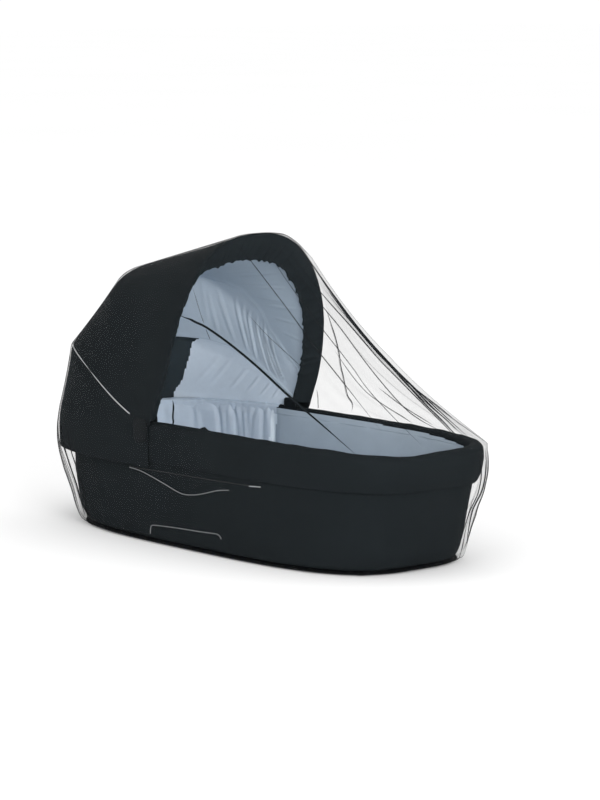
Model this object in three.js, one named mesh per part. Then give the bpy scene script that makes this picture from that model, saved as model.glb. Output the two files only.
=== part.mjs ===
// A mosquito net with an elastic hem, pulled over a carrycot and its raised hood.
// Millimetres, +Z up, +X to the foot end, -Y the near side, the cot's underside at z = 0.
import * as THREE from "three";

// How thick each sheet is.
const SHEET = { net: 1.6, hem: 4.4, cover: 2.4, lining: 2.2, flange: 2.2 };

// Where the hood's bows turn, and how square the cot is in plan.
const PIVOT = { x: -144, z: 226 };
const PLAN_POWER = 3.3;

// Columns round the cot, across the hood and along the net.
const COT_COLUMNS = 48;
const HOOD_COLUMNS = 30;
const NET_COLUMNS = 30;

// The hood's bows as the cover's outer face runs over them, pivot to pivot. Lean is in degrees forward.
const BOWS = {
  front: { half: 206.2, rise: 382, lean: 14.6, power: 2.75 },
  middle: { half: 206.2, rise: 366, lean: -38.5, power: 2.6 },
  back: { half: 206.2, rise: 409, lean: -70, power: 2.7 },
};

// The lining runs over the inside of the tubes, from pivots a little above the bows' own.
const LINING_BOWS = {
  front: { half: 188.4, rise: 345.6, lean: 14.6, power: 2.75, back: 21.8 },
  middle: { half: 188, rise: 343, lean: -38.5, power: 2.6, back: 0 },
  back: { half: 187, rise: 382, lean: -70, power: 2.7, back: 0 },
};
const LINING_SILL = { z: 226, head: -533, foot: 460, half: 187 };
const LINING_RAISED = 9;

// The tubes under the cover. Each starts and ends a little above its pivots, as a share of its length.
const TUBE = { radius: 4.5, sides: 4, steps: 18 };
const TUBES = {
  front: { half: 194.2, rise: 360, lean: 14.6, power: 2.75, back: 20, start: 0.02 },
  middle: { half: 197.4, rise: 357.2, lean: -38.5, power: 2.6, back: 0, start: 0.05 },
  back: { half: 196.8, rise: 399.6, lean: -70, power: 2.7, back: 0, start: 0.075 },
};

// The flange closes the front of the hood in to this opening.
const OPENING = { half: 176, rise: 322, lean: 13.6, power: 3, back: 17 };
const FLANGE_GATHERS = [
  // across, spread, in
  { across: 0.3, spread: 0.03, inward: 4 },
  { across: 0.36, spread: 0.025, inward: -3 },
  { across: 0.42, spread: 0.03, inward: 4 },
  { across: 0.49, spread: 0.03, inward: -2 },
  { across: 0.66, spread: 0.03, inward: 3 },
];

// Plan sections: height, where the head and foot ends reach, and half the width.
const SILL = { z: 226, head: -557, foot: 480, half: 206.2 };
const SKIRT = [
  { z: 186, head: -565, foot: 480, half: 206.2 },
  { z: 146, head: -560, foot: 480, half: 206.2 },
];

const SHELL = [
  { z: 0, head: -400, foot: 345, half: 135 },
  { z: 6.5, head: -401, foot: 346, half: 136 },
  { z: 6.5, head: -462, foot: 392, half: 184 },
  { z: 10, head: -476, foot: 404, half: 194 },
  { z: 30, head: -490, foot: 414, half: 198.5 },
  { z: 85, head: -500, foot: 428, half: 199.5 },
  { z: 158, head: -507, foot: 446, half: 199.8 },
  { z: 222, head: -508, foot: 468, half: 196 },
  { z: 222, head: -500, foot: 460, half: 188 },
  { z: 85, head: -492, foot: 420, half: 191.5 },
  { z: 24, head: -480, foot: 402, half: 188 },
  { z: 14, head: -462, foot: 390, half: 180 },
];

const LINING = [
  { z: 14.4, head: -455, foot: 384, half: 174 },
  { z: 26, head: -474, foot: 398, half: 184 },
  { z: 85, head: -486, foot: 414, half: 187 },
  { z: 220, head: -497.6, foot: 457.5, half: 184.6 },
  { z: 220, head: -494.6, foot: 454.5, half: 181 },
  { z: 208, head: -492, foot: 451, half: 178.5 },
  { z: 192, head: -490, foot: 445, half: 178 },
  { z: 120, head: -484, foot: 418, half: 180 },
  { z: 60, head: -477, foot: 404, half: 179 },
  { z: 26, head: -462, foot: 388, half: 172 },
  { z: 17.6, head: -446, foot: 374, half: 162 },
];
const LINING_WRINKLES = { deep: 1.6, first: 19, second: 31, floor: 50, ceiling: 200 };

const CUFF = [
  { z: 158, head: -512, foot: 460, half: 203.4 },
  { z: 176, head: -516, foot: 470.5, half: 203.4 },
  { z: 202, head: -518, foot: 477, half: 203.4 },
  { z: 220, head: -517, foot: 476, half: 202.6 },
  { z: 228.5, head: -511, foot: 470, half: 196.5 },
  { z: 230.5, head: -503, foot: 464, half: 189 },
  { z: 227, head: -492, foot: 452, half: 178 },
  { z: 212, head: -489, foot: 449, half: 175 },
  { z: 212, head: -491.6, foot: 451.6, half: 177.6 },
  { z: 224, head: -495, foot: 455.5, half: 181.5 },
  { z: 227.5, head: -503, foot: 464.5, half: 189.5 },
  { z: 224, head: -511, foot: 470, half: 196.6 },
  { z: 202, head: -515, foot: 474.5, half: 200.4 },
  { z: 176, head: -513, foot: 467.5, half: 200.4 },
  { z: 158, head: -509, foot: 457, half: 200.4 },
];

const BRACKET = { wide: 44, high: 48, thick: 2, corner: 9, z: 218 };

// The net's own rails: the same bows and sections, standing off what they cover.
const NET_BOWS = {
  front: { half: 213.7, rise: 384.7, lean: 14.6, power: 2.75 },
  middle: { half: 213.7, rise: 369, lean: -38.5, power: 2.6 },
  back: { half: 213.7, rise: 412.2, lean: -70, power: 2.7 },
};
const NET_RIM = { z: 226, head: -562.8, foot: 482.4, half: 213.7 };
const NET_WALL = [
  { z: 197, head: -570.6, foot: 483.3, half: 213.7 },
  { z: 168, head: -571.6, foot: 479.6, half: 212.6 },
  { z: 138, head: -567.4, foot: 468.4, half: 211.4 },
  { z: 104, head: -551, foot: 446.4, half: 209.6 },
  { z: 66, head: -524, foot: 429, half: 207 },
  { z: 30, head: -504, foot: 421, half: 205 },
  { z: 8, head: -487, foot: 413, half: 203 },
  { z: 0, head: -474, foot: 401, half: 194 },
  { z: 0, head: -448, foot: 381, half: 170 },
  { z: 0, head: -424, foot: 366, half: 154 },
  { z: 0, head: -404, foot: 349, half: 138.6 },
];
const HEM_ROWS = 2;

// Which part of the front bow each stretch of the front rim hangs from, both as shares of their length.
const FALL = [
  { rim: 0, bow: 0 },
  { rim: 0.17, bow: 0.1 },
  { rim: 0.33, bow: 0.25 },
  { rim: 0.4, bow: 0.35 },
  { rim: 0.5, bow: 0.5 },
  { rim: 0.6, bow: 0.65 },
  { rim: 0.67, bow: 0.75 },
  { rim: 0.83, bow: 0.9 },
  { rim: 1, bow: 1 },
];

// Rows of the tent between bow and rim, and rows over the hood from bow to bow.
const TENT_ROWS = [0.1, 0.25, 0.42, 0.6, 0.78, 0.92];
const TENT_SAG = { deep: 31, peak: 0.47, back: 0.45, inward: 0.35, down: 0.88 };
const HOOD_SPANS = { front: [0.28, 0.55, 0.8], middle: [0.35, 0.7], back: [0.4, 0.75] };
const COVER_SAG = { front: 7, middle: 9, back: 7 };
const LINING_SAG = { front: 14, middle: 12, back: 8 };
const NET_SAG = { front: 2.5, middle: 1, back: 1 };

// Folds of the net. Each stands out at the top, half way and at the bottom of its part of the net.
const FOLDS = {
  tent: [
    // share along the rim, spread, lift at the bow, half way, at the rim
    { at: 0.13, spread: 0.03, top: 1, middle: 4, bottom: 1 },
    { at: 0.235, spread: 0.022, top: 2, middle: -5, bottom: 1 },
    { at: 0.33, spread: 0.02, top: 3, middle: 6, bottom: 1 },
    { at: 0.405, spread: 0.018, top: 2, middle: 8, bottom: 2 },
    { at: 0.47, spread: 0.022, top: 1, middle: -6, bottom: 0 },
    { at: 0.545, spread: 0.02, top: 2, middle: 5, bottom: 1 },
    { at: 0.602, spread: 0.015, top: 4, middle: 10, bottom: 2 },
    { at: 0.64, spread: 0.015, top: 3, middle: 8, bottom: 2 },
    { at: 0.7, spread: 0.02, top: 2, middle: 6, bottom: 1 },
    { at: 0.775, spread: 0.022, top: 1, middle: -5, bottom: 1 },
    { at: 0.86, spread: 0.03, top: 1, middle: 5, bottom: 1 },
  ],
  hood: [
    // share across the hood, spread, lift at the front bow, half way, at the sill
    { at: 0.16, spread: 0.03, top: 0, middle: 2, bottom: 4 },
    { at: 0.31, spread: 0.025, top: 1, middle: 3, bottom: 5 },
    { at: 0.45, spread: 0.03, top: 0, middle: 2, bottom: 6 },
    { at: 0.58, spread: 0.025, top: 1, middle: 3, bottom: 4 },
    { at: 0.72, spread: 0.025, top: 0, middle: 4, bottom: 6 },
    { at: 0.87, spread: 0.03, top: 0, middle: 2, bottom: 3 },
  ],
  foot: [
    // share along the front rim, spread, lift below the rim, half way down, at the base
    { at: 0.33, spread: 0.02, top: 1, middle: 4, bottom: 2 },
    { at: 0.405, spread: 0.018, top: 1, middle: 8, bottom: 4 },
    { at: 0.47, spread: 0.022, top: 0, middle: 5, bottom: 3 },
    { at: 0.545, spread: 0.02, top: 1, middle: 7, bottom: 2 },
    { at: 0.602, spread: 0.015, top: 1, middle: 5, bottom: 3 },
    { at: 0.7, spread: 0.02, top: 2, middle: 3, bottom: 2 },
  ],
  head: [
    // share across the head end, spread, lift below the sill, half way down, at the base
    { at: 0.16, spread: 0.03, top: 2, middle: 3, bottom: 2 },
    { at: 0.31, spread: 0.025, top: 4, middle: 10, bottom: 4 },
    { at: 0.38, spread: 0.02, top: 1, middle: 6, bottom: 5 },
    { at: 0.45, spread: 0.03, top: 4, middle: 9, bottom: 3 },
    { at: 0.58, spread: 0.025, top: 3, middle: 7, bottom: 5 },
    { at: 0.72, spread: 0.025, top: 4, middle: 8, bottom: 3 },
  ],
};
const GATHER = { waves: 34, uneven: 13, deep: 4 };

const COLOURS = {
  net: { color: 0x1d2023, roughness: 0.9 },
  fabric: { color: 0x16191a, roughness: 0.85 },
  lining: { color: 0xa3abb5, roughness: 0.9 },
  metal: { color: 0x8d9092, roughness: 0.4, metalness: 0.9 },
  plastic: { color: 0x111212, roughness: 0.5 },
};

// A signed power, the bend of a superellipse.
function bend(value, power) {
  return Math.sign(value) * Math.abs(value) ** (2 / power);
}

// A smooth bump, one at its middle and nothing beyond its spread.
function bump(value, spread) {
  const t = Math.abs(value) / spread;
  return t < 1 ? (1 - t * t) ** 2 : 0;
}

// A curve that can be asked for the point at a share of its length.
function rail(points) {
  const reach = [0];
  for (let i = 1; i < points.length; i += 1) {
    reach.push(reach[i - 1] + points[i].distanceTo(points[i - 1]));
  }
  const whole = reach[reach.length - 1];
  return (share) => {
    const want = Math.min(Math.max(share, 0), 1) * whole;
    let i = 1;
    while (i < reach.length - 1 && reach[i] < want) {
      i += 1;
    }
    const part = (want - reach[i - 1]) / (reach[i] - reach[i - 1]);
    return points[i - 1].clone().lerp(points[i], part);
  };
}

// One bow from the near pivot over the top to the far one, drawn in by an inset.
function bowRail(bow, inset = 0, back = 0) {
  const lean = THREE.MathUtils.degToRad(bow.lean);
  const points = [];
  for (let i = 0; i <= 400; i += 1) {
    const turn = (Math.PI * i) / 400;
    const rise = (bow.rise - inset) * bend(Math.sin(turn), bow.power);
    const x = PIVOT.x + rise * Math.sin(lean) - back * Math.cos(lean);
    const z = PIVOT.z + rise * Math.cos(lean) + back * Math.sin(lean);
    points.push(new THREE.Vector3(x, -(bow.half - inset) * bend(Math.cos(turn), bow.power), z));
  }
  return rail(points);
}

// A point of a plan section, from the two shares of a unit superellipse.
function planPoint(section, unit) {
  const middle = (section.head + section.foot) / 2;
  const reach = (section.foot - section.head) / 2;
  return new THREE.Vector3(middle + reach * unit.x, section.half * unit.y, section.z);
}

function unitPoint(turn) {
  return { x: bend(Math.cos(turn), PLAN_POWER), y: bend(Math.sin(turn), PLAN_POWER) };
}

// The stretch of a section before the pivots, near to far, or the one behind them.
function planRail(section, front) {
  const middle = (section.head + section.foot) / 2;
  const reach = (section.foot - section.head) / 2;
  const share = (PIVOT.x - middle) / reach;
  const split = Math.acos(Math.sign(share) * Math.abs(share) ** (PLAN_POWER / 2));
  const from = -split;
  const span = front ? 2 * split : -(2 * Math.PI - 2 * split);
  const points = [];
  for (let i = 0; i <= 600; i += 1) {
    points.push(planPoint(section, unitPoint(from + (span * i) / 600)));
  }
  return rail(points);
}

// Unit points spread evenly round the cot, shared by every section so that they nest.
function cotUnits() {
  const section = CUFF[2];
  const points = [];
  for (let i = 0; i <= 1200; i += 1) {
    points.push(planPoint(section, unitPoint((2 * Math.PI * i) / 1200)));
  }
  const loop = rail(points);
  const middle = (section.head + section.foot) / 2;
  const reach = (section.foot - section.head) / 2;
  const units = [];
  for (let i = 0; i < COT_COLUMNS; i += 1) {
    const point = loop((i + 0.5) / COT_COLUMNS);
    units.push({ x: (point.x - middle) / reach, y: point.y / section.half });
  }
  return units;
}

// A surface of shared points and of faces that turn outward.
class Surface {
  constructor() {
    this.points = [];
    this.faces = [];
  }

  add(point) {
    this.points.push(point);
    return this.points.length - 1;
  }

  face(a, b, c) {
    if (a !== b && b !== c && c !== a) {
      this.faces.push([a, b, c]);
    }
  }

  quad(a, b, c, d) {
    const across = this.points[a].distanceTo(this.points[c]);
    const down = this.points[b].distanceTo(this.points[d]);
    if (across <= down) {
      this.face(a, b, c);
      this.face(a, c, d);
    } else {
      this.face(a, b, d);
      this.face(b, c, d);
    }
  }

  // Fills the strip between two rows of point numbers.
  strip(upper, lower, closed = false) {
    const last = closed ? upper.length : upper.length - 1;
    for (let i = 0; i < last; i += 1) {
      const j = (i + 1) % upper.length;
      this.quad(upper[i], lower[i], lower[j], upper[j]);
    }
  }

  normals() {
    const sums = this.points.map(() => new THREE.Vector3());
    for (const [a, b, c] of this.faces) {
      const one = this.points[b].clone().sub(this.points[a]);
      const two = this.points[c].clone().sub(this.points[a]);
      const normal = one.cross(two);
      sums[a].add(normal);
      sums[b].add(normal);
      sums[c].add(normal);
    }
    return sums.map((sum) => sum.normalize());
  }

  // Gives the surface a depth behind its faces and closes its edges.
  thicken(depth) {
    const normals = this.normals();
    const count = this.points.length;
    const edges = new Map();
    for (const [a, b, c] of this.faces) {
      for (const [p, q] of [[a, b], [b, c], [c, a]]) {
        edges.set(`${p} ${q}`, [p, q]);
      }
    }
    for (let i = 0; i < count; i += 1) {
      this.add(this.points[i].clone().addScaledVector(normals[i], -depth(i)));
    }
    for (const [a, b, c] of this.faces.slice()) {
      this.face(a + count, c + count, b + count);
    }
    for (const [p, q] of edges.values()) {
      if (!edges.has(`${q} ${p}`)) {
        this.face(q, p, p + count);
        this.face(q, p + count, q + count);
      }
    }
    return this;
  }

  geometry() {
    const geometry = new THREE.BufferGeometry();
    const flat = this.points.flatMap((point) => [point.x, point.y, point.z]);
    geometry.setAttribute("position", new THREE.Float32BufferAttribute(flat, 3));
    geometry.setIndex(this.faces.flat());
    geometry.computeVertexNormals();
    return geometry;
  }
}

function solid(name, geometry, look) {
  const mesh = new THREE.Mesh(geometry, new THREE.MeshStandardMaterial(COLOURS[look]));
  mesh.name = name;
  return mesh;
}

// A ring or tub swept round the cot through a list of sections, capped where it is open.
function swept(sections, units, capped, shape = (point) => point) {
  const surface = new Surface();
  const rows = sections.map((section, k) => {
    return units.map((unit, i) => surface.add(shape(planPoint(section, unit), k, i)));
  });
  for (let k = 0; k + 1 < rows.length; k += 1) {
    surface.strip(rows[k + 1], rows[k], true);
  }
  if (!capped) {
    surface.strip(rows[0], rows[rows.length - 1], true);
    return surface.geometry();
  }
  for (const [row, section, up] of [[rows[0], sections[0], false], [rows.at(-1), sections.at(-1), true]]) {
    const hub = surface.add(new THREE.Vector3((section.head + section.foot) / 2, 0, section.z));
    for (let i = 0; i < row.length; i += 1) {
      const j = (i + 1) % row.length;
      surface.face(hub, up ? row[i] : row[j], up ? row[j] : row[i]);
    }
  }
  return surface.geometry();
}

// The lining's wall puckers a little between its seams.
function puckered(point, row, column) {
  if (row < 5 || point.z < LINING_WRINKLES.floor || point.z > LINING_WRINKLES.ceiling) {
    return point;
  }
  const turn = (2 * Math.PI * column) / COT_COLUMNS;
  const first = Math.sin(LINING_WRINKLES.first * turn + 0.4);
  const second = Math.sin(LINING_WRINKLES.second * turn + 1.9);
  const lift = LINING_WRINKLES.deep * (0.6 * first + 0.4 * second + 1);
  const inward = Math.hypot(point.x, point.y);
  return point.set(point.x * (1 - lift / inward), point.y * (1 - lift / inward), point.z);
}

// A row between two rails, sagging towards the hood's pivots.
function between(first, second, share, sag) {
  return (across) => {
    const point = first(across).lerp(second(across), share);
    const away = new THREE.Vector3(point.x - PIVOT.x, 0, point.z - PIVOT.z);
    const reach = away.length();
    const deep = sag * 4 * share * (1 - share) * Math.min(reach / 300, 1);
    return point.addScaledVector(away.normalize(), -deep);
  };
}

// Every row of the hood, from the front bow back to the sill.
function hoodRows(front, middle, back, sill, sags) {
  const rows = [front];
  for (const share of HOOD_SPANS.front) {
    rows.push(between(front, middle, share, sags.front));
  }
  rows.push(middle);
  for (const share of HOOD_SPANS.middle) {
    rows.push(between(middle, back, share, sags.middle));
  }
  rows.push(back);
  for (const share of HOOD_SPANS.back) {
    rows.push(between(back, sill, share, sags.back));
  }
  rows.push(sill);
  return rows;
}

// Rows of a fan meet in one point at each pivot, the rows of its skirt do not.
function fanRows(surface, rows, shares, meeting) {
  const near = surface.add(rows[0](0));
  const far = surface.add(rows[0](1));
  return rows.map((row, k) => {
    return shares.map((share, i) => {
      if (k < meeting && i === 0) {
        return near;
      }
      if (k < meeting && i === shares.length - 1) {
        return far;
      }
      return surface.add(row(share));
    });
  });
}

function evenShares(count, start = 0) {
  return Array.from({ length: count + 1 }, (_, i) => start + ((1 - 2 * start) * i) / count);
}

function hoodCover() {
  const surface = new Surface();
  const bows = Object.values(BOWS).map((bow) => bowRail(bow));
  const rows = hoodRows(...bows, planRail(SILL, false), COVER_SAG);
  const meeting = rows.length;
  rows.push(...SKIRT.map((section) => planRail(section, false)));
  const grid = fanRows(surface, rows, evenShares(HOOD_COLUMNS), meeting);
  for (let k = 0; k + 1 < grid.length; k += 1) {
    surface.strip(grid[k + 1], grid[k]);
  }
  return surface.thicken(() => SHEET.cover).geometry();
}

// The hood's lining hangs inside the bows and ends just over the rim.
function hoodLining() {
  const surface = new Surface();
  const raised = new THREE.Vector3(0, 0, LINING_RAISED);
  const bows = Object.values(LINING_BOWS).map((bow) => bowRail(bow, 0, bow.back));
  const rails = [...bows, planRail(LINING_SILL, false)].map((curve) => (across) => curve(across).add(raised));
  const rows = hoodRows(...rails, LINING_SAG);
  const grid = fanRows(surface, rows, evenShares(HOOD_COLUMNS - 2, 0.02), 0);
  for (let k = 0; k + 1 < grid.length; k += 1) {
    surface.strip(grid[k + 1], grid[k]);
  }
  return surface.thicken(() => SHEET.lining).geometry();
}

// The band of cover that closes the front of the hood, a little gathered along its inner edge.
function hoodFlange() {
  const surface = new Surface();
  const outer = bowRail(BOWS.front, SHEET.cover + 1.7);
  const inner = bowRail(OPENING, 0, OPENING.back);
  const shares = evenShares(36, 0.014);
  const rows = [0, 0.5, 1].map((depth) => {
    return shares.map((share) => {
      const point = outer(share).lerp(inner(share), depth);
      let inward = 0;
      for (const gather of FLANGE_GATHERS) {
        inward += gather.inward * bump(share - gather.across, gather.spread) * depth;
      }
      const away = new THREE.Vector3(point.x - PIVOT.x, point.y, point.z - PIVOT.z).normalize();
      return surface.add(point.addScaledVector(away, -inward));
    });
  });
  surface.strip(rows[1], rows[0]);
  surface.strip(rows[2], rows[1]);
  return surface.thicken(() => SHEET.flange).geometry();
}

function bowTube(tube) {
  const centre = bowRail(tube, 0, tube.back);
  const points = evenShares(40, tube.start).map((share) => centre(share));
  const path = new THREE.CatmullRomCurve3(points);
  const ring = new THREE.Shape();
  ring.absarc(0, 0, TUBE.radius, 0, 2 * Math.PI);
  const sizes = { steps: TUBE.steps, curveSegments: TUBE.sides, extrudePath: path };
  return new THREE.ExtrudeGeometry(ring, { ...sizes, bevelEnabled: false });
}

// The plate on each side of the cot that carries the bows.
function pivotBracket(side) {
  const { wide, high, corner, thick } = BRACKET;
  const plate = new THREE.Shape();
  plate.moveTo(corner - wide / 2, -high / 2);
  plate.lineTo(wide / 2 - corner, -high / 2);
  plate.quadraticCurveTo(wide / 2, -high / 2, wide / 2, corner - high / 2);
  plate.lineTo(wide / 2, high / 2 - corner);
  plate.quadraticCurveTo(wide / 2, high / 2, wide / 2 - corner, high / 2);
  plate.lineTo(corner - wide / 2, high / 2);
  plate.quadraticCurveTo(-wide / 2, high / 2, -wide / 2, high / 2 - corner);
  plate.lineTo(-wide / 2, corner - high / 2);
  plate.quadraticCurveTo(-wide / 2, -high / 2, corner - wide / 2, -high / 2);
  const geometry = new THREE.ExtrudeGeometry(plate, { depth: thick, curveSegments: 3, bevelEnabled: false });
  geometry.rotateX(Math.PI / 2);
  const face = BOWS.front.half + 0.4;
  geometry.translate(PIVOT.x, side < 0 ? -face : face + thick, BRACKET.z);
  return geometry;
}

// Looks a value up in a table of matching shares.
function match(table, from, to, value) {
  let i = 1;
  while (i < table.length - 1 && table[i][from] < value) {
    i += 1;
  }
  const part = (value - table[i - 1][from]) / (table[i][from] - table[i - 1][from]);
  return table[i - 1][to] + part * (table[i][to] - table[i - 1][to]);
}

// Shares along the front rim where the net has a column: even ones, and three for each fold.
function netShares() {
  const wanted = evenShares(NET_COLUMNS).map((at) => ({ at, kept: at === 0 || at === 1 }));
  for (const fold of [...FOLDS.tent]) {
    wanted.push({ at: fold.at, kept: true }, { at: fold.at - fold.spread, kept: true });
    wanted.push({ at: fold.at + fold.spread, kept: true });
  }
  wanted.sort((a, b) => a.at - b.at);
  const shares = [];
  for (const { at, kept } of wanted) {
    const close = shares.findIndex((share) => Math.abs(share.at - at) < 0.011);
    if (close < 0) {
      shares.push({ at, kept });
    } else if (kept && !shares[close].kept) {
      shares[close] = { at, kept };
    }
  }
  return shares.map((share) => share.at).sort((a, b) => a - b);
}

// How far the folds of one part stand out at a share along it and a share down it.
function foldLift(folds, along, down) {
  let lift = 0;
  for (const fold of folds) {
    const upper = fold.top + (fold.middle - fold.top) * Math.min(down * 2, 1);
    const size = down < 0.5 ? upper : fold.middle + (fold.bottom - fold.middle) * (down * 2 - 1);
    lift += size * bump(along - fold.at, fold.spread);
  }
  return lift;
}

// The net before its folds: rows of point numbers for the tent, the hood and the wall below.
function netRows(surface, rimShares) {
  const bowShares = rimShares.map((share) => match(FALL, "rim", "bow", share));
  const bows = Object.values(NET_BOWS).map((bow) => bowRail(bow));
  const rim = planRail(NET_RIM, true);
  const over = hoodRows(...bows, planRail(NET_RIM, false), NET_SAG);
  const hood = fanRows(surface, over, bowShares, over.length);
  const near = hood[0][0];
  const far = hood[0].at(-1);
  const tent = [hood[0]];
  for (const share of [...TENT_ROWS, 1]) {
    const sag = TENT_SAG.deep * Math.sin(Math.PI * share ** (Math.log(0.5) / Math.log(TENT_SAG.peak)));
    tent.push(rimShares.map((at, i) => {
      if (i === 0 || i === rimShares.length - 1) {
        return i === 0 ? near : far;
      }
      const point = bows[0](bowShares[i]).lerp(rim(at), share);
      const slack = sag * Math.sqrt(bump(at - 0.5, 0.5));
      const aside = -TENT_SAG.inward * slack * THREE.MathUtils.clamp(point.y / 120, -1, 1);
      return surface.add(point.add(new THREE.Vector3(-TENT_SAG.back * slack, aside, -TENT_SAG.down * slack)));
    }));
  }
  const wall = NET_WALL.map((section) => {
    const front = planRail(section, true);
    const rear = planRail(section, false);
    const row = rimShares.map((at) => surface.add(front(at)));
    for (let i = rimShares.length - 2; i > 0; i -= 1) {
      row.push(surface.add(rear(bowShares[i])));
    }
    return row;
  });
  return { hood, tent, wall, bowShares };
}

// Lifts the net's points along its own normals, fold by fold.
function foldNet(surface, rows, rimShares) {
  const normals = surface.normals();
  const lifts = new Map();
  rows.tent.forEach((row, k) => row.forEach((point, i) => {
    lifts.set(point, foldLift(FOLDS.tent, rimShares[i], k / (rows.tent.length - 1)));
  }));
  rows.hood.slice(1).forEach((row, k) => row.forEach((point, i) => {
    lifts.set(point, foldLift(FOLDS.hood, rows.bowShares[i], (k + 1) / (rows.hood.length - 1)));
  }));
  const lowest = rows.wall.findIndex((row) => surface.points[row[0]].z < 1);
  rows.wall.slice(0, lowest).forEach((row, k) => row.forEach((point, i) => {
    const down = (k + 1) / lowest;
    const behind = i >= rimShares.length;
    const share = behind ? rows.bowShares[2 * rimShares.length - 2 - i] : rimShares[i];
    lifts.set(point, foldLift(behind ? FOLDS.head : FOLDS.foot, share, down));
  }));
  for (const [point, lift] of lifts) {
    surface.points[point].addScaledVector(normals[point], lift);
  }
  return lowest;
}

// The elastic draws the margin under the base into small uneven gathers.
function gatherHem(surface, rows, lowest) {
  rows.slice(lowest, -1).forEach((row) => row.forEach((point, i) => {
    const turn = (2 * Math.PI * i) / row.length;
    const wave = Math.sin(GATHER.waves * turn) + 0.6 * Math.sin(GATHER.uneven * turn + 1);
    const at = surface.points[point];
    const away = Math.hypot(at.x, at.y);
    const shift = 1 + (GATHER.deep * wave) / (2 * away);
    at.set(at.x * shift, at.y * shift, at.z);
  }));
}

function net() {
  const surface = new Surface();
  const rimShares = netShares();
  const rows = netRows(surface, rimShares);
  const rimRow = [...rows.tent.at(-1), ...rows.hood.at(-1).slice(1, -1).reverse()];
  for (let k = 0; k + 1 < rows.tent.length; k += 1) {
    surface.strip(rows.tent[k], rows.tent[k + 1]);
  }
  for (let k = 0; k + 1 < rows.hood.length; k += 1) {
    surface.strip(rows.hood[k + 1], rows.hood[k]);
  }
  surface.strip(rimRow, rows.wall[0], true);
  for (let k = 0; k + 1 < rows.wall.length; k += 1) {
    surface.strip(rows.wall[k], rows.wall[k + 1], true);
  }
  const lowest = foldNet(surface, rows, rimShares);
  gatherHem(surface, rows.wall, lowest);
  const hem = new Set(rows.wall.slice(-HEM_ROWS).flat());
  return surface.thicken((point) => (hem.has(point) ? SHEET.hem : SHEET.net)).geometry();
}

const units = cotUnits();
const part = new THREE.Group();
part.name = "mosquito_net_on_carrycot";
part.add(
  solid("net", net(), "net"),
  solid("hood_cover", hoodCover(), "fabric"),
  solid("hood_flange", hoodFlange(), "fabric"),
  solid("hood_lining", hoodLining(), "lining"),
  solid("bow_front", bowTube(TUBES.front), "metal"),
  solid("bow_middle", bowTube(TUBES.middle), "metal"),
  solid("bow_back", bowTube(TUBES.back), "metal"),
  solid("bracket_near", pivotBracket(-1), "plastic"),
  solid("bracket_far", pivotBracket(1), "plastic"),
  solid("rim_band", swept(CUFF, units, false), "fabric"),
  solid("cot_shell", swept(SHELL, units, true), "fabric"),
  solid("cot_lining", swept(LINING, units, true, puckered), "lining"),
);

export default part;
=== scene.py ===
"""A mosquito net over a carrycot with its hood: cloths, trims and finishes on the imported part.

Metres in the scene. The tables below are in millimetres, +X to the foot end, -Y the near side.
"""

import math

import bpy
import numpy as np
from bpy.props import FloatProperty, FloatVectorProperty, IntProperty, PointerProperty
from bpy.types import Operator, Panel, PropertyGroup
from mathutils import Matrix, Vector


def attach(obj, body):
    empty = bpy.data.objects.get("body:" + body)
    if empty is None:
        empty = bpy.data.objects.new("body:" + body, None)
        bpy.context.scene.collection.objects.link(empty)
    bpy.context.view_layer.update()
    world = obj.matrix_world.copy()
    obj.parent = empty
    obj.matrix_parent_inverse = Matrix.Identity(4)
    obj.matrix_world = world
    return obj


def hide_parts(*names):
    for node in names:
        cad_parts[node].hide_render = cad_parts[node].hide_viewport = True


bl_info = {
    "name": "Carrycot Mosquito Net",
    "version": (1, 0, 0),
    "blender": (4, 5, 0),
    "location": "View3D > Sidebar > Carrycot Net",
    "description": "Dresses a carrycot, its hood and the net over them in cloth, trims and finishes",
    "category": "Add Mesh",
}

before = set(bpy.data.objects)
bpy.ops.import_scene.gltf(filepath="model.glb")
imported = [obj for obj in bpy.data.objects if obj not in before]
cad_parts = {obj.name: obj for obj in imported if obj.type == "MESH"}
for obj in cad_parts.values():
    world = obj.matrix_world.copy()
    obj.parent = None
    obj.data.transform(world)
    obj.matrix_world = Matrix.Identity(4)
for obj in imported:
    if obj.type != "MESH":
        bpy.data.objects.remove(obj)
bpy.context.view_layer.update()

MM = 0.001
PIVOT = np.array([-144.0, 0.0, 226.0])
PLAN_POWER = 3.3

# How far the front bow bends forward at shares of its height, in millimetres.
FORWARD_BEND = [(0.0, -3.0), (0.1, 9.0), (0.28, 18.0), (0.56, 18.0), (0.8, 6.0), (1.0, -4.0)]
# The hood's bows, pivot to pivot: half the width, rise, set back, lean forward in degrees, squareness,
# and for the front one its squareness on the far side, its share of the forward bend and its shift aside.
FRONT_LINE = {"lean": 14.6, "power": 2.7, "far_power": 2.45, "forward": 1.0}
MIDDLE_LINE = {"lean": -38.5, "power": 2.6}
BACK_LINE = {"lean": -70.0, "power": 2.7}
COVER_BOWS = {
    "front": {"half": 206.2, "rise": 382.0, "back": 0.0, **FRONT_LINE},
    "middle": {"half": 206.2, "rise": 366.0, "back": 0.0, **MIDDLE_LINE},
    "back": {"half": 206.2, "rise": 409.0, "back": 0.0, **BACK_LINE},
}
LINING_BOWS = {
    "front": {"half": 188.4, "rise": 345.6, "back": 21.8, **FRONT_LINE},
    "middle": {"half": 188.0, "rise": 343.0, "back": 0.0, **MIDDLE_LINE},
    "back": {"half": 187.0, "rise": 382.0, "back": 0.0, **BACK_LINE},
}
NET_BOWS = {
    "front": {"half": 209.4, "rise": 383.8, "back": 0.0, **FRONT_LINE},
    "middle": {"half": 209.4, "rise": 367.8, "back": 0.0, **MIDDLE_LINE},
    "back": {"half": 209.4, "rise": 411.0, "back": 0.0, **BACK_LINE},
}
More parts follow.
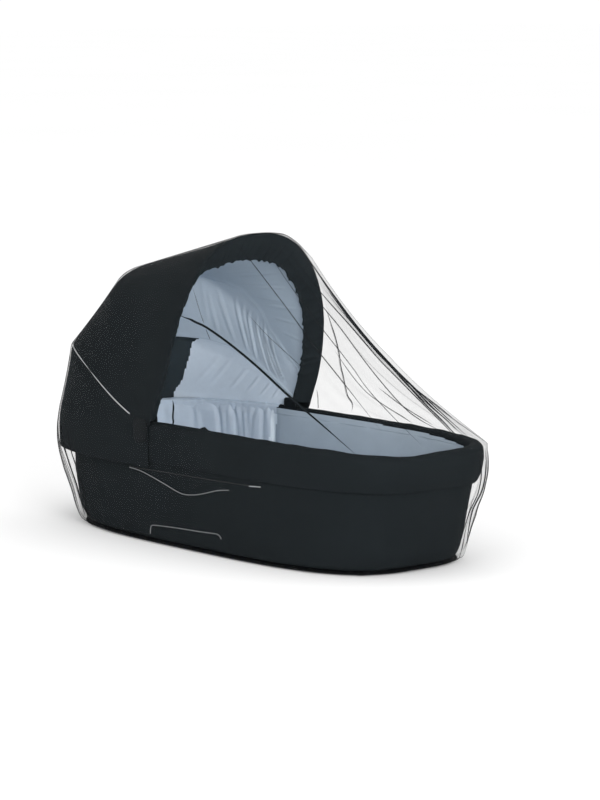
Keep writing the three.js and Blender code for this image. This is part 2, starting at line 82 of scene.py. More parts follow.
OPENING_LINE = {"lean": 13.6, "power": 3.3, "far_power": 2.85, "forward": 0.8, "aside": -5.0}
OPENING = {"half": 177.5, "rise": 322.0, "back": 17.0, **OPENING_LINE}
FRONT_TUBE = {"half": 194.2, "rise": 360.0, "back": 20.0, **FRONT_LINE}
TUBE_RADIUS = 4.5

# Plan sections: height, how far the head and foot ends reach, half the width.
COVER_SILL = (226.0, -557.0, 480.0, 206.2)
COVER_SKIRT = [
    COVER_SILL,
    (186.0, -565.0, 480.0, 206.2),
    (146.0, -560.0, 480.0, 206.2),
]
LINING_SILL = (226.0, -533.0, 460.0, 187.0)
LINING_RAISED = 9.0
SHELL = [
    (0.6, -400.0, 345.0, 135.0),
    (6.5, -462.0, 392.0, 184.0),
    (10.0, -476.0, 404.0, 194.0),
    (30.0, -494.0, 415.0, 198.5),
    (85.0, -510.0, 431.0, 199.5),
    (158.0, -517.0, 450.0, 199.8),
    (222.0, -508.0, 468.0, 196.0),
]
COT_INSIDE = [
    (222.0, -493.0, 453.0, 179.4),
    (209.0, -489.8, 449.8, 176.2),
    (192.0, -488.6, 444.0, 176.6),
    (120.0, -484.0, 418.0, 180.0),
    (60.0, -477.0, 404.0, 179.0),
    (26.0, -462.0, 388.0, 172.0),
    (17.6, -446.0, 374.0, 162.0),
]
RIM = [
    (158.0, -519.5, 458.5, 201.9),
    (159.0, -521.0, 460.0, 203.4),
    (176.0, -522.0, 470.5, 203.4),
    (202.0, -521.0, 477.0, 203.4),
    (220.0, -517.0, 476.0, 202.6),
    (228.5, -511.0, 470.0, 196.5),
    (230.5, -503.0, 464.0, 189.0),
    (227.0, -492.0, 452.0, 178.0),
    (212.0, -489.0, 449.0, 175.0),
]
NET_RIM = (226.0, -560.6, 481.4, 210.4)
NET_WALL = [
    NET_RIM,
    (197.0, -567.8, 482.0, 210.4),
    (168.0, -567.4, 478.4, 209.4),
    (138.0, -559.0, 467.4, 208.6),
    (104.0, -538.0, 445.6, 207.4),
    (66.0, -514.5, 430.4, 205.6),
    (30.0, -498.0, 420.4, 204.2),
    (8.0, -484.0, 412.6, 203.0),
    (0.6, -474.0, 401.0, 194.0),
    (0.4, -448.0, 381.0, 170.0),
    (0.4, -424.0, 366.0, 154.0),
    (0.4, -404.0, 349.0, 138.6),
]
# Which row of the wall meets the base, and from which share of the way there the hem starts.
NET_BASE_ROW = 8
HEM_FROM = 0.955
# The lowest that the net and the cot's cloth may lie.
NET_LOWEST = 0.4
COT_LOWEST = 0.5

# Which share of the front bow each share of the front rim hangs from.
FALL = {
    "rim": [0, 0.17, 0.33, 0.4, 0.5, 0.6, 0.67, 0.83, 1],
    "bow": [0, 0.1, 0.25, 0.35, 0.5, 0.65, 0.75, 0.9, 1],
}
TENT_SAG = {"deep": 31.0, "peak": 0.47, "back": 0.45, "inward": 0.35, "down": 0.88}

# Folds of the net: share along it, spread, and the lift in millimetres at its top, half way and bottom.
NET_FOLDS = {
    "tent": [
        (0.13, 0.03, 1, 4, 1),
        (0.235, 0.022, 2, -5, 1),
        (0.33, 0.02, 3, 6, 1),
        (0.405, 0.018, 2, 8, 2),
        (0.47, 0.022, 1, -6, 0),
        (0.545, 0.02, 2, 5, 1),
        (0.602, 0.015, 4, 10, 2),
        (0.64, 0.015, 3, 8, 2),
        (0.7, 0.02, 2, 6, 1),
        (0.775, 0.022, 1, -5, 1),
        (0.86, 0.03, 1, 5, 1),
    ],
    "hood": [
        (0.16, 0.03, 0, 1, 2),
        (0.31, 0.025, 0, 1, 3),
        (0.45, 0.03, 0, 1, 3),
        (0.58, 0.025, 0, 1, 3),
        (0.72, 0.025, 0, 1, 3),
        (0.87, 0.03, 0, 1, 2),
    ],
    "foot": [
        (0.33, 0.02, 1, 4, 2),
        (0.405, 0.018, 1, 8, 4),
        (0.47, 0.022, 0, 5, 3),
        (0.545, 0.02, 1, 7, 2),
        (0.602, 0.015, 1, 5, 3),
        (0.7, 0.02, 2, 3, 2),
    ],
    "head": [
        (0.16, 0.03, 1, 2, 1),
        (0.31, 0.025, 2, 6, 3),
        (0.38, 0.02, 0, 3, 3),
        (0.45, 0.03, 2, 6, 2),
        (0.58, 0.025, 2, 5, 3),
        (0.72, 0.025, 2, 6, 2),
    ],
}


# Curves and sections.


def bend(value, power):
    """A signed power, the bend of a superellipse."""
    return np.sign(value) * np.abs(value) ** (2.0 / power)


def bump(value, spread):
    """A smooth bump, one at its middle and nothing beyond its spread."""
    t = np.minimum(np.abs(value) / spread, 1.0)
    return (1.0 - t * t) ** 2


def rail(points):
    """A curve that gives the points at shares of its length."""
    steps = np.linalg.norm(np.diff(points, axis=0), axis=1)
    reach = np.concatenate(([0.0], np.cumsum(steps)))
    reach /= reach[-1]

    def at(shares):
        return np.stack([np.interp(shares, reach, points[:, k]) for k in range(3)], axis=-1)

    return at


def bow_rail(bow, inset=0.0):
    """One bow from the near pivot over the top to the far one, drawn in by an inset."""
    turn = np.linspace(0.0, math.pi, 1201)
    lean = math.radians(bow["lean"])
    power = np.where(np.cos(turn) < 0, bow.get("far_power", bow["power"]), bow["power"])
    high = bend(np.sin(turn), power)
    rise = (bow["rise"] - inset) * high
    x = PIVOT[0] + rise * math.sin(lean) - bow["back"] * math.cos(lean)
    z = PIVOT[2] + rise * math.cos(lean) + bow["back"] * math.sin(lean)
    y = -(bow["half"] - inset) * bend(np.cos(turn), power)
    forward = np.interp(high, *zip(*FORWARD_BEND))
    forward = np.convolve(np.pad(forward, 40, mode="edge"), np.full(81, 1 / 81), mode="valid")
    x = x + bow.get("forward", 0.0) * forward * np.minimum(high / 0.02, 1.0)
    y = y + bow.get("aside", 0.0) * high**2
    return rail(np.stack([x, y, z], axis=-1))


def section_points(section, turn):
    """Points of a plan section at turns of its superellipse."""
    z, head, foot, half = section
    x = (head + foot) / 2 + (foot - head) / 2 * bend(np.cos(turn), PLAN_POWER)
    y = half * bend(np.sin(turn), PLAN_POWER)
    return np.stack([x, y, np.full_like(x, z)], axis=-1)


def plan_rail(section, front):
    """The stretch of a section before the pivots, near to far, or the one behind them."""
    _, head, foot, _ = section
    share = (PIVOT[0] - (head + foot) / 2) / ((foot - head) / 2)
    split = math.acos(np.sign(share) * abs(share) ** (PLAN_POWER / 2))
    span = 2 * split if front else -(2 * math.pi - 2 * split)
    return rail(section_points(section, -split + span * np.linspace(0.0, 1.0, 1201)))


def between_sections(sections, share):
    """The section at a share of the way through a list of them, eased past each one."""
    at = share * (len(sections) - 1)
    k = min(int(at), len(sections) - 2)
    part = at - k
    rows = np.array([sections[min(max(k + i, 0), len(sections) - 1)] for i in (-1, 0, 1, 2)])
    ease = 0.5 * np.array(
        [
            -part + 2 * part**2 - part**3,
            2 - 5 * part**2 + 3 * part**3,
            part + 4 * part**2 - 3 * part**3,
            -(part**2) + part**3,
        ]
    )
    smooth = ease @ rows
    plain = rows[1] * (1 - part) + rows[2] * part
    return tuple(0.6 * smooth + 0.4 * plain)


def fan(first, second, shares, rows, sag, start=1):
    """Rows from one rail to another that sag towards the hood's pivots."""
    grid = []
    for step in np.linspace(0.0, 1.0, rows + 1)[start:]:
        points = first(shares) * (1 - step) + second(shares) * step
        away = (points - PIVOT) * np.array([1.0, 0.0, 1.0])
        reach = np.maximum(np.linalg.norm(away, axis=1, keepdims=True), 1e-6)
        deep = sag * 4 * step * (1 - step) * np.minimum(reach / 300.0, 1.0)
        grid.append(points - away / reach * deep)
    return grid


def hood_grid(bows, sill, sags, shares, rows):
    """Every row of the hood, from the front bow back to the sill."""
    front, middle, back = (bow_rail(bow) for bow in bows.values())
    grid = fan(front, middle, shares, rows[0], sags[0], 0)
    grid += fan(middle, back, shares, rows[1], sags[1])
    grid += fan(back, sill, shares, rows[2], sags[2])
    return np.array(grid)


def section_grid(sections, rows, rails):
    """Rows through a list of plan sections, each taken along the given stretch."""
    return np.array([rails(between_sections(sections, k / rows)) for k in range(rows + 1)])


def even_turns(section, columns):
    """Turns that are spread evenly along a section, right round it."""
    turn = np.linspace(0.0, 2 * math.pi, 2401)
    points = section_points(section, turn)
    reach = np.concatenate(([0.0], np.cumsum(np.linalg.norm(np.diff(points, axis=0), axis=1))))
    return np.interp(np.linspace(0.0, reach[-1], columns + 1), reach, turn)


def loop_grid(sections, rows, turns):
    """Rows right round the cot through a list of sections."""
    grid = [section_points(between_sections(sections, k / rows), turns) for k in range(rows + 1)]
    return np.array(grid)


# Cloth.


def flat_grid(points):
    """Where each corner of a grid lies on the flat cloth, in metres."""
    across = np.linalg.norm(np.diff(points, axis=1), axis=2).mean(axis=0)
    down = np.linalg.norm(np.diff(points, axis=0), axis=2).mean(axis=1)
    u = np.concatenate(([0.0], np.cumsum(across))) * MM
    v = np.concatenate(([0.0], np.cumsum(down))) * MM
    return np.stack(np.meshgrid(u, v), axis=-1)


def ring_grid(flat):
    """Flat places laid round in a ring, so that waves over them close without a seam."""
    radius = flat[0, -1, 0] / (2 * math.pi)
    turn = flat[..., 0] / radius
    return np.stack([np.cos(turn) * radius, np.sin(turn) * radius], axis=-1)


def softened(grid, times):
    """Rounds the rows of a grid, as stiff cloth does over a bow."""
    grid = grid.copy()
    for _ in range(times):
        grid[1:-1] = 0.25 * grid[:-2] + 0.5 * grid[1:-1] + 0.25 * grid[2:]
    return grid


class Cloth:
    """A surface put together from grids of points, in millimetres."""

    def __init__(self):
        self.points, self.lifts, self.flats = [], [], []
        self.faces, self.finishes = [], []
        self.count = 0

    def add(self, grid, lift=0.0, finish=0, turned=False, flat=None):
        """Adds a grid with the lift and the finish of its faces."""
        rows, columns = grid.shape[:2]
        number = self.count + np.arange(rows * columns).reshape(rows, columns)
        corners = [number[:-1, :-1], number[1:, :-1], number[1:, 1:], number[:-1, 1:]]
        if turned:
            corners = corners[::-1]
        faces = np.stack(corners, axis=-1).reshape(-1, 4)
        self.points.append(grid.reshape(-1, 3))
        self.lifts.append(np.broadcast_to(lift, (rows, columns)).reshape(-1))
        self.flats.append((flat_grid(grid) if flat is None else flat).reshape(-1, 2))
        self.faces.append(faces)
        self.finishes.append(np.full(len(faces), finish))
        self.count += rows * columns

    def joined(self):
        """Points with their doubles joined, faces, place on the flat cloth and lift."""
        points = np.concatenate(self.points)
        faces = np.concatenate(self.faces)
        finishes = np.concatenate(self.finishes)
        _, first, place = np.unique(np.round(points, 2), axis=0, return_index=True, return_inverse=True)
        place = place.reshape(-1)
        lift = np.zeros(len(first))
        share = np.zeros(len(first))
        np.add.at(lift, place, np.concatenate(self.lifts))
        np.add.at(share, place, 1.0)
        return points[first], faces, place, finishes, lift / share

    def normals(self, points, quads):
        """Normals at the points of joined faces."""
        normal = np.zeros_like(points)
        face = np.cross(points[quads[:, 2]] - points[quads[:, 0]], points[quads[:, 3]] - points[quads[:, 1]])
        for k in range(4):
            np.add.at(normal, quads[:, k], face)
        length = np.linalg.norm(normal, axis=1, keepdims=True)
        return normal / np.maximum(length, 1e-9)

    def build(self, name, thick=0.0):
        """Makes the mesh object, with a second face behind the first where it has a thickness."""
        points, faces, place, finishes, lift = self.joined()
        flats = np.concatenate(self.flats)
        quads = place[faces]
        points = points + self.normals(points, quads) * lift[:, None]
        normal = self.normals(points, quads)
        polygons, corners, finish = [], [], []
        for quad, source, kind in zip(quads.tolist(), faces.tolist(), finishes.tolist()):
            kept = [k for k in range(4) if quad[k] != quad[k - 1]]
            if len(kept) > 2 and len({quad[k] for k in kept}) == len(kept):
                polygons.append([quad[k] for k in kept])
                corners.append([source[k] for k in kept])
                finish.append(kind)
        if thick:
            count = len(points)
            edges = {}
            for polygon, corner, kind in zip(polygons, corners, finish):
                for k in range(len(polygon)):
                    edges[(polygon[k - 1], polygon[k])] = (corner[k - 1], corner[k], kind)
            points = np.concatenate([points, points - normal * thick])
            for k in range(len(polygons)):
                polygons.append([p + count for p in reversed(polygons[k])])
                corners.append(corners[k][::-1])
                finish.append(finish[k])
            for (p, q), (a, b, kind) in edges.items():
                if (q, p) not in edges:
                    polygons.append([q, p, p + count, q + count])
                    corners.append([b, a, a, b])
                    finish.append(kind)
        return mesh_object(name, points * MM, polygons, flats[np.concatenate(corners)], finish)


def mesh_object(name, points, polygons, flats, finish=None):
    """An object at the origin with smooth faces, a flat map and a finish number for each face."""
    mesh = bpy.data.meshes.new(name)
    mesh.from_pydata(np.asarray(points).tolist(), [], polygons)
    layer = mesh.uv_layers.new(name="flat")
    layer.data.foreach_set("uv", np.asarray(flats, dtype=np.float32).reshape(-1))
    if finish is not None:
        mesh.polygons.foreach_set("material_index", np.asarray(finish, dtype=np.int32))
    mesh.polygons.foreach_set("use_smooth", np.ones(len(polygons), dtype=bool))
    mesh.update()
    thing = bpy.data.objects.new(name, mesh)
    bpy.context.scene.collection.objects.link(thing)
    return thing


def fold_lift(folds, along, down):
    """How far folds stand out at shares along and down a cloth."""
    lift = np.zeros(np.broadcast(along, down).shape)
    for at, spread, top, middle, bottom in folds:
        size = np.interp(down, [0.0, 0.5, 1.0], [top, middle, bottom])
        lift += size * bump(along - at, spread)
    return lift


def crease_lift(flat, creases):
    """The lift of straight creases on a flat cloth, sharp along their line and soft beside it.

    A crease is: from u, from v, to u, to v in metres, width and lift in millimetres.
    """
    lift = np.zeros(flat.shape[:-1])
    for u0, v0, u1, v1, wide, high in creases:
        start = np.array([u0, v0])
        line = np.array([u1 - u0, v1 - v0])
        length = np.linalg.norm(line)
        along = ((flat - start) @ line) / length**2
        off = np.abs((flat - start) @ np.array([-line[1], line[0]])) / length / (wide * MM)
        taper = np.clip(np.minimum(along, 1 - along) * 4, 0.0, 1.0)
        lift += high * taper * (np.exp(-(off**2)) - 0.35 * np.exp(-((off / 2.4) ** 2)))
    return lift


def unevenness(flat, seed, waves, lengths, high):
    """Soft waves in many directions over a flat cloth. Lengths are in metres, high in millimetres."""
    chance = np.random.default_rng(seed)
    lift = np.zeros(flat.shape[:-1])
    for _ in range(waves):
        turn = chance.uniform(0.0, math.pi)
        wave = chance.uniform(*lengths)
        phase = chance.uniform(0.0, 2 * math.pi)
        lift += np.sin(2 * math.pi / wave * (flat @ np.array([math.cos(turn), math.sin(turn)])) + phase)
    return high * lift / math.sqrt(waves)


def tube(name, path, radius, sides=8):
    """A round cord along a path in millimetres, with closed ends."""
    path = np.asarray(path, dtype=float)
    ahead = np.gradient(path, axis=0)
    ahead /= np.linalg.norm(ahead, axis=1, keepdims=True)
    side = np.cross(ahead, np.array([0.0, 1.0, 0.0]))
    side /= np.linalg.norm(side, axis=1, keepdims=True)
    top = np.cross(side, ahead)
    turn = np.linspace(0.0, 2 * math.pi, sides, endpoint=False)
    ring = side[:, None] * np.cos(turn)[None, :, None] + top[:, None] * np.sin(turn)[None, :, None]
    points = (path[:, None] + ring * radius).reshape(-1, 3)
    polygons = []
    for k in range(len(path) - 1):
        for i in range(sides):
            j = (i + 1) % sides
            polygons.append([k * sides + i, k * sides + j, (k + 1) * sides + j, (k + 1) * sides + i])
    polygons.append(list(range(sides))[::-1])
    polygons.append([(len(path) - 1) * sides + i for i in range(sides)])
    along = np.concatenate(([0.0], np.cumsum(np.linalg.norm(np.diff(path, axis=0), axis=1)))) * MM
    flats = [
        (along[p // sides], (p % sides) / sides * 2 * math.pi * radius * MM)
        for polygon in polygons
        for p in polygon
    ]
    return mesh_object(name, points * MM, polygons, flats)


# The net.


def grid_normals(grid, centre):
    """Normals of a grid that point away from a centre."""
    down = np.gradient(grid, axis=0)
    across = np.gradient(grid, axis=1)
    normal = np.cross(down, across)
    normal /= np.maximum(np.linalg.norm(normal, axis=2, keepdims=True), 1e-9)
    inward = np.sum(normal * (grid - centre), axis=2, keepdims=True) < 0
    return np.where(inward, -normal, normal)


def on_grid(grid, along, down):
    """Points of a grid at shares along and down it."""
    rows, columns = grid.shape[:2]
    r = np.clip(down, 0.0, 1.0) * (rows - 1)
    c = np.clip(along, 0.0, 1.0) * (columns - 1)
    i = np.minimum(r.astype(int), rows - 2)
    j = np.minimum(c.astype(int), columns - 2)
    s, t = (r - i)[:, None], (c - j)[:, None]
    upper = grid[i, j] * (1 - t) + grid[i, j + 1] * t
    lower = grid[i + 1, j] * (1 - t) + grid[i + 1, j + 1] * t
    return upper * (1 - s) + lower * s


def smooth_path(knots, steps):
    """A path eased through its knots."""
    knots = np.asarray(knots, dtype=float)
    at = np.linspace(0.0, len(knots) - 1.0, steps)
    k = np.minimum(at.astype(int), len(knots) - 2)
    t = (at - k)[:, None]
    before, first = knots[np.maximum(k - 1, 0)], knots[k]
    second, after = knots[k + 1], knots[np.minimum(k + 2, len(knots) - 1)]
    return 0.5 * (
        2 * first
        + (second - before) * t
        + (2 * before - 5 * first + 4 * second - after) * t**2
        + (3 * first - before - 3 * second + after) * t**3
    )


def add_pleat(cloth, grid, normals, knots, wide, high, finish):
    """A pinched pleat that stands on a cloth along a path, and thins out at both ends."""
    path = smooth_path(knots, 48)
    points = on_grid(grid, path[:, 0], path[:, 1])
    normal = on_grid(normals, path[:, 0], path[:, 1])
    ahead = np.gradient(points, axis=0)
    side = np.cross(ahead, normal)
    side /= np.maximum(np.linalg.norm(side, axis=1, keepdims=True), 1e-9)
    share = np.linspace(0.0, 1.0, len(points))
    taper = (np.clip(np.minimum(share, 1 - share) * 5, 0.08, 1.0))[:, None]
    rows = [
        points + side * wide / 2 * taper + normal * 0.15,
        points + side * wide * 0.12 * taper + normal * (0.2 + high * taper),
        points - side * wide / 2 * taper + normal * 0.15,
    ]
    cloth.add(np.array(rows), finish=finish)


NET_ROWS = {"tent": 66, "hood": (26, 18, 20), "wall": 66}
# How deep the net sags between the hood's bows, front to back, in millimetres.
NET_HOOD_SAGS = (0.0, 2.4, 2.2)

# Fine folds of the loose net at each end: how many, their spread and lift, and where they lie.
END_FOLDS = {
    "head": {"count": 30, "from": 0.12, "to": 0.88, "spread": (0.003, 0.009), "high": (0.8, 3.4), "seed": 7},
    "foot": {"count": 20, "from": 0.36, "to": 0.66, "spread": (0.003, 0.008), "high": (1.0, 3.5), "seed": 11},
}


def end_fold_lift(name, along, down):
    """Fine upright folds that fade in below the rim."""
    facts = END_FOLDS[name]
    chance = np.random.default_rng(facts["seed"])
    lift = np.zeros(np.broadcast(along, down).shape)
    for _ in range(facts["count"]):
        at = chance.uniform(facts["from"], facts["to"])
        lean = chance.uniform(-0.02, 0.02)
        spread = chance.uniform(*facts["spread"])
        high = chance.uniform(*facts["high"])
        start = chance.uniform(0.0, 0.3)
        strength = np.clip((down - start) * 4, 0.0, 1.0)
        lift += high * strength * bump(along - at - lean * down, spread)
    return lift


class NetShape:
    """The net as grids: its tent from the front bow to the rim, its hood and its wall."""

    def __init__(self, columns):
        rim_shares = np.linspace(0.0, 1.0, columns + 1)
        bow_shares = np.interp(rim_shares, FALL["rim"], FALL["bow"])
        self.cloth, self.spans = Cloth(), {}
        tent = self.tent_grid(rim_shares, bow_shares)
        self.add("tent", tent, fold_lift(NET_FOLDS["tent"], rim_shares[None], self.down(tent)))
        rear = plan_rail(NET_RIM, False)
        hood = hood_grid(NET_BOWS, rear, NET_HOOD_SAGS, bow_shares, NET_ROWS["hood"])
        self.add("hood", hood, fold_lift(NET_FOLDS["hood"], bow_shares[None], self.down(hood)), True)
        for name, shares, front in (("foot", rim_shares, True), ("head", bow_shares, False)):
            grid = section_grid(NET_WALL, NET_ROWS["wall"], lambda s, a=shares, f=front: plan_rail(s, f)(a))
            grid[..., 2] = np.maximum(grid[..., 2], NET_LOWEST)
            down = self.down(grid) * (len(NET_WALL) - 1) / NET_BASE_ROW
            lift = fold_lift(NET_FOLDS[name], shares[None], np.minimum(down, 1.0))
            lift += end_fold_lift(name, shares[None], down)
            lift *= np.clip((0.98 - down) * 8, 0.0, 1.0)
            self.gather(grid, down)
            self.add(name, grid, lift, not front)
            hem = np.broadcast_to(down > HEM_FROM, grid.shape[:2])[:-1, :-1]
            self.cloth.finishes[-1] = hem.reshape(-1).astype(int)

    def add(self, name, grid, lift, turned=False):
        """Adds a part of the net and keeps where its points start."""
        self.spans[name] = (self.cloth.count, grid.shape[:2])
        self.cloth.add(grid, lift=lift, turned=turned)

    @staticmethod
    def down(grid):
        """Shares down a grid, row by row."""
        return np.linspace(0.0, 1.0, grid.shape[0])[:, None]

    @staticmethod
    def tent_grid(rim_shares, bow_shares):
        """The tent from the front bow to the rim, with its slack."""
        top = bow_rail(NET_BOWS["front"])(bow_shares)
        foot = plan_rail(NET_RIM, True)(rim_shares)
        power = math.log(0.5) / math.log(TENT_SAG["peak"])
        rows = []
        for share in np.linspace(0.0, 1.0, NET_ROWS["tent"] + 1):
            points = top * (1 - share) + foot * share
            slack = TENT_SAG["deep"] * math.sin(math.pi * share**power)
            slack = slack * np.sqrt(bump(rim_shares - 0.5, 0.5))
            aside = -TENT_SAG["inward"] * slack * np.clip(points[:, 1] / 120, -1, 1)
            points += np.stack([-TENT_SAG["back"] * slack, aside, -TENT_SAG["down"] * slack], axis=-1)
            rows.append(points)
        return np.array(rows)

    @staticmethod
    def gather(grid, down):
        """Draws the margin under the base into uneven gathers."""
        under = np.clip((down - 1.0) * 6, 0.0, 1.0)
        turn = np.arctan2(grid[..., 1], (grid[..., 0] + 30) * 0.45)
        wave = np.sin(47 * turn) + 0.6 * np.sin(31 * turn + 1) + 0.4 * np.sin(83 * turn + 2)
        away = np.hypot(grid[..., 0], grid[..., 1])
        shift = 1 + under * wave * 1.6 / away
        grid[..., 0] *= shift
        grid[..., 1] *= shift
        grid[..., 2] += under * (2.2 + wave) * 0.8

    def settled(self, name):
        """A grid of the net where it lies once its folds are lifted."""
        points, faces, place, _, lift = self.cloth.joined()
        points = points + self.cloth.normals(points, place[faces]) * lift[:, None]
        first, shape = self.spans[name]
        return points[place[first : first + shape[0] * shape[1]]].reshape(*shape, 3)


# The longest pleats: the seam, three on the near side of the slope, and two of the bundle.
SEAM_LINE = [
    (0.318, 0.0),
    (0.332, 0.06),
    (0.338, 0.1),
    (0.347, 0.16),
    (0.36, 0.29),
    (0.369, 0.43),
    (0.373, 0.58),
    (0.377, 0.8),
    (0.377, 0.99),
]
SLOPE_LINES = [
    [(0.456, 0.02), (0.461, 0.12), (0.4646, 0.3), (0.4604, 0.48), (0.454, 0.62), (0.44, 0.86)],
    [(0.518, 0.03), (0.525, 0.3), (0.526, 0.42), (0.515, 0.61), (0.508, 0.76), (0.512, 0.83), (0.528, 0.9)],
    [(0.53, 0.04), (0.54, 0.26), (0.547, 0.4), (0.545, 0.54), (0.546, 0.66), (0.54, 0.88), (0.53, 0.98)],
]
BUNDLE_LINES = [
    [
        (0.572, 0.01),
        (0.579, 0.16),
        (0.579, 0.32),
        (0.577, 0.46),
        (0.568, 0.57),
        (0.555, 0.68),
        (0.547, 0.8),
        (0.542, 0.96),
    ],
    [(0.577, 0.03), (0.586, 0.2), (0.587, 0.36), (0.583, 0.5), (0.575, 0.62), (0.562, 0.76), (0.556, 0.94)],
]
# Main pleats of the net by part: where they run (share along, share down), width and height.
PLEATS = {
    "seam": [
        (SEAM_LINE, 4.4, 3.4),
        ([(0.166, 0.2), (0.122, 0.38), (0.088, 0.55)], 3.4, 2.6),
    ],
    "tent": [
        # the near side of the slope
        (SLOPE_LINES[0], 1.7, 2.2),
        ([(0.495, 0.04), (0.4938, 0.38), (0.4896, 0.55), (0.4813, 0.68), (0.474, 0.94)], 1.5, 2.0),
        (SLOPE_LINES[1], 1.5, 2.2),
        (SLOPE_LINES[2], 1.8, 2.4),
        ([(0.408, 0.24), (0.4104, 0.35), (0.4146, 0.43), (0.4195, 0.52)], 1.0, 1.5),
        ([(0.366, 0.02), (0.352, 0.1), (0.347, 0.135)], 1.6, 1.8),
        ([(0.344, 0.155), (0.339, 0.2)], 1.6, 1.8),
        ([(0.5, 0.66), (0.506, 0.74), (0.514, 0.8), (0.524, 0.86)], 1.2, 1.8),
        # the bundle that falls from the top of the hood
        (BUNDLE_LINES[0], 2.0, 2.6),
        (BUNDLE_LINES[1], 2.0, 2.8),
        ([(0.57, 0.2), (0.574, 0.33), (0.573, 0.44), (0.566, 0.52)], 2.6, 2.6),
        ([(0.584, 0.26), (0.587, 0.42), (0.582, 0.6), (0.57, 0.78), (0.562, 0.96)], 1.4, 2.0),
        ([(0.556, 0.68), (0.549, 0.74), (0.546, 0.84), (0.538, 0.95)], 2.0, 2.4),
        # the far side of the slope
        ([(0.7, 0.0), (0.731, 0.1), (0.79, 0.25), (0.836, 0.44), (0.89, 0.76)], 3.6, 2.6),
        ([(0.92, 0.03), (0.955, 0.3), (0.978, 0.68)], 1.6, 1.6),
        ([(0.648, 0.04), (0.64, 0.35), (0.646, 0.6), (0.66, 0.82), (0.69, 0.97)], 1.6, 2.0),
        ([(0.628, 0.1), (0.622, 0.4), (0.63, 0.66), (0.645, 0.9)], 1.4, 2.0),
        ([(0.76, 0.12), (0.768, 0.42), (0.775, 0.75), (0.79, 0.97)], 1.4, 2.0),
    ],
    "head": [
        ([(0.365, 0.06), (0.358, 0.2), (0.346, 0.36), (0.34, 0.6)], 2.0, 2.6),
        ([(0.345, 0.08), (0.332, 0.26), (0.317, 0.4), (0.319, 0.6)], 1.6, 2.2),
        ([(0.39, 0.04), (0.382, 0.22), (0.372, 0.42), (0.37, 0.64)], 2.0, 2.6),
        ([(0.43, 0.06), (0.429, 0.25), (0.424, 0.42), (0.42, 0.62)], 2.2, 2.8),
        ([(0.46, 0.02), (0.452, 0.3), (0.456, 0.6)], 1.6, 2.4),
        ([(0.55, 0.03), (0.56, 0.3), (0.55, 0.62)], 2.0, 2.4),
        ([(0.62, 0.03), (0.612, 0.3), (0.62, 0.6)], 1.8, 2.4),
        ([(0.7, 0.05), (0.69, 0.3), (0.7, 0.6)], 1.6, 2.2),
    ],
    "foot": [
        ([(0.577, 0.02), (0.578, 0.2), (0.585, 0.34), (0.6, 0.55)], 2.0, 2.6),
        ([(0.6, 0.04), (0.594, 0.22), (0.6, 0.4), (0.61, 0.6)], 1.6, 2.4),
        ([(0.555, 0.03), (0.566, 0.24), (0.572, 0.5)], 1.6, 2.2),
    ],
}


def net_object(columns):
    """The net, with its main pleats and its gathered hem."""
    net = NetShape(columns)
    pleats = Cloth()
    for part, folds in PLEATS.items():
        grid = net.settled("tent" if part == "seam" else part)
        normals = grid_normals(grid, np.array([0.0, 0.0, 200.0]))
        for knots, wide, high in folds:
            add_pleat(pleats, grid, normals, knots, wide, high, int(part == "seam"))
    return net.cloth.build("net_cloth"), pleats.build("net_pleats")


# Hood and cot.

# How many rows each cloth has, and how thick it is and how deep it sags between the bows, in millimetres.
COVER_ROWS = {"hood": (28, 20, 22), "skirt": 12}
LINING_ROWS = (30, 28, 24)
BAND_ROWS = 64
COT_ROWS = {"wall": 42, "base": 8}
COT_LINING_ROWS = {"wall": 44, "floor": 14}
THICK = {"cover": 1.4, "flange": 1.0, "hood_lining": 0.8, "band": 1.2, "cot": 1.2, "cot_lining": 0.8}
COVER_SAGS = (0.6, 3.4, 3.0)
LINING_SAGS = (14.0, 12.0, 8.0)


def hood_cover_object(columns):
    """The hood's cover, stretched over its bows, with a skirt outside the rim."""
    shares = np.linspace(0.0, 1.0, columns + 1)
    hood = hood_grid(COVER_BOWS, plan_rail(COVER_SILL, False), COVER_SAGS, shares, COVER_ROWS["hood"])
    skirt = section_grid(COVER_SKIRT, COVER_ROWS["skirt"], lambda s: plan_rail(s, False)(shares))
    grid = np.concatenate([hood, skirt[1:]])
    grid[1:-1] = softened(grid, 4)[1:-1]
    in_hood = np.arange(len(grid))[:, None] < len(hood)
    for column in (0, -1):
        grid[:, column] = np.where(in_hood, hood[0, column], grid[:, column])
    flat = flat_grid(grid)
    lift = unevenness(flat, seed=3, waves=14, lengths=(0.09, 0.3), high=0.7)
    lift += unevenness(flat, seed=4, waves=12, lengths=(0.03, 0.07), high=0.18)
    edge = np.minimum(shares, 1 - shares)[None] * 12
    lift = (lift - 0.8 + 2.2 * np.clip((PIVOT[0] - grid[..., 0]) / 200, 0.0, 1.0)) * np.clip(edge, 0.0, 1.0)
    cloth = Cloth()
    cloth.add(grid, lift=lift, turned=True, flat=flat)
    return cloth.build("hood_cover_cloth", THICK["cover"])


# Broad gathers of the flange: share along it, spread, and how far its inner edge is drawn in.
GATHERS = [
    (0.3, 0.03, 4.0),
    (0.36, 0.025, -3.0),
    (0.42, 0.03, 4.0),
    (0.49, 0.03, -2.0),
    (0.66, 0.03, 3.0),
]


# The scallops of the flange's inner edge: how many, how deep and how wide, and the hem's radius there.
SCALLOPS = {"count": 44, "deep": (1.2, 5.2), "spread": (0.006, 0.011)}
FLANGE_HEM = 2.2


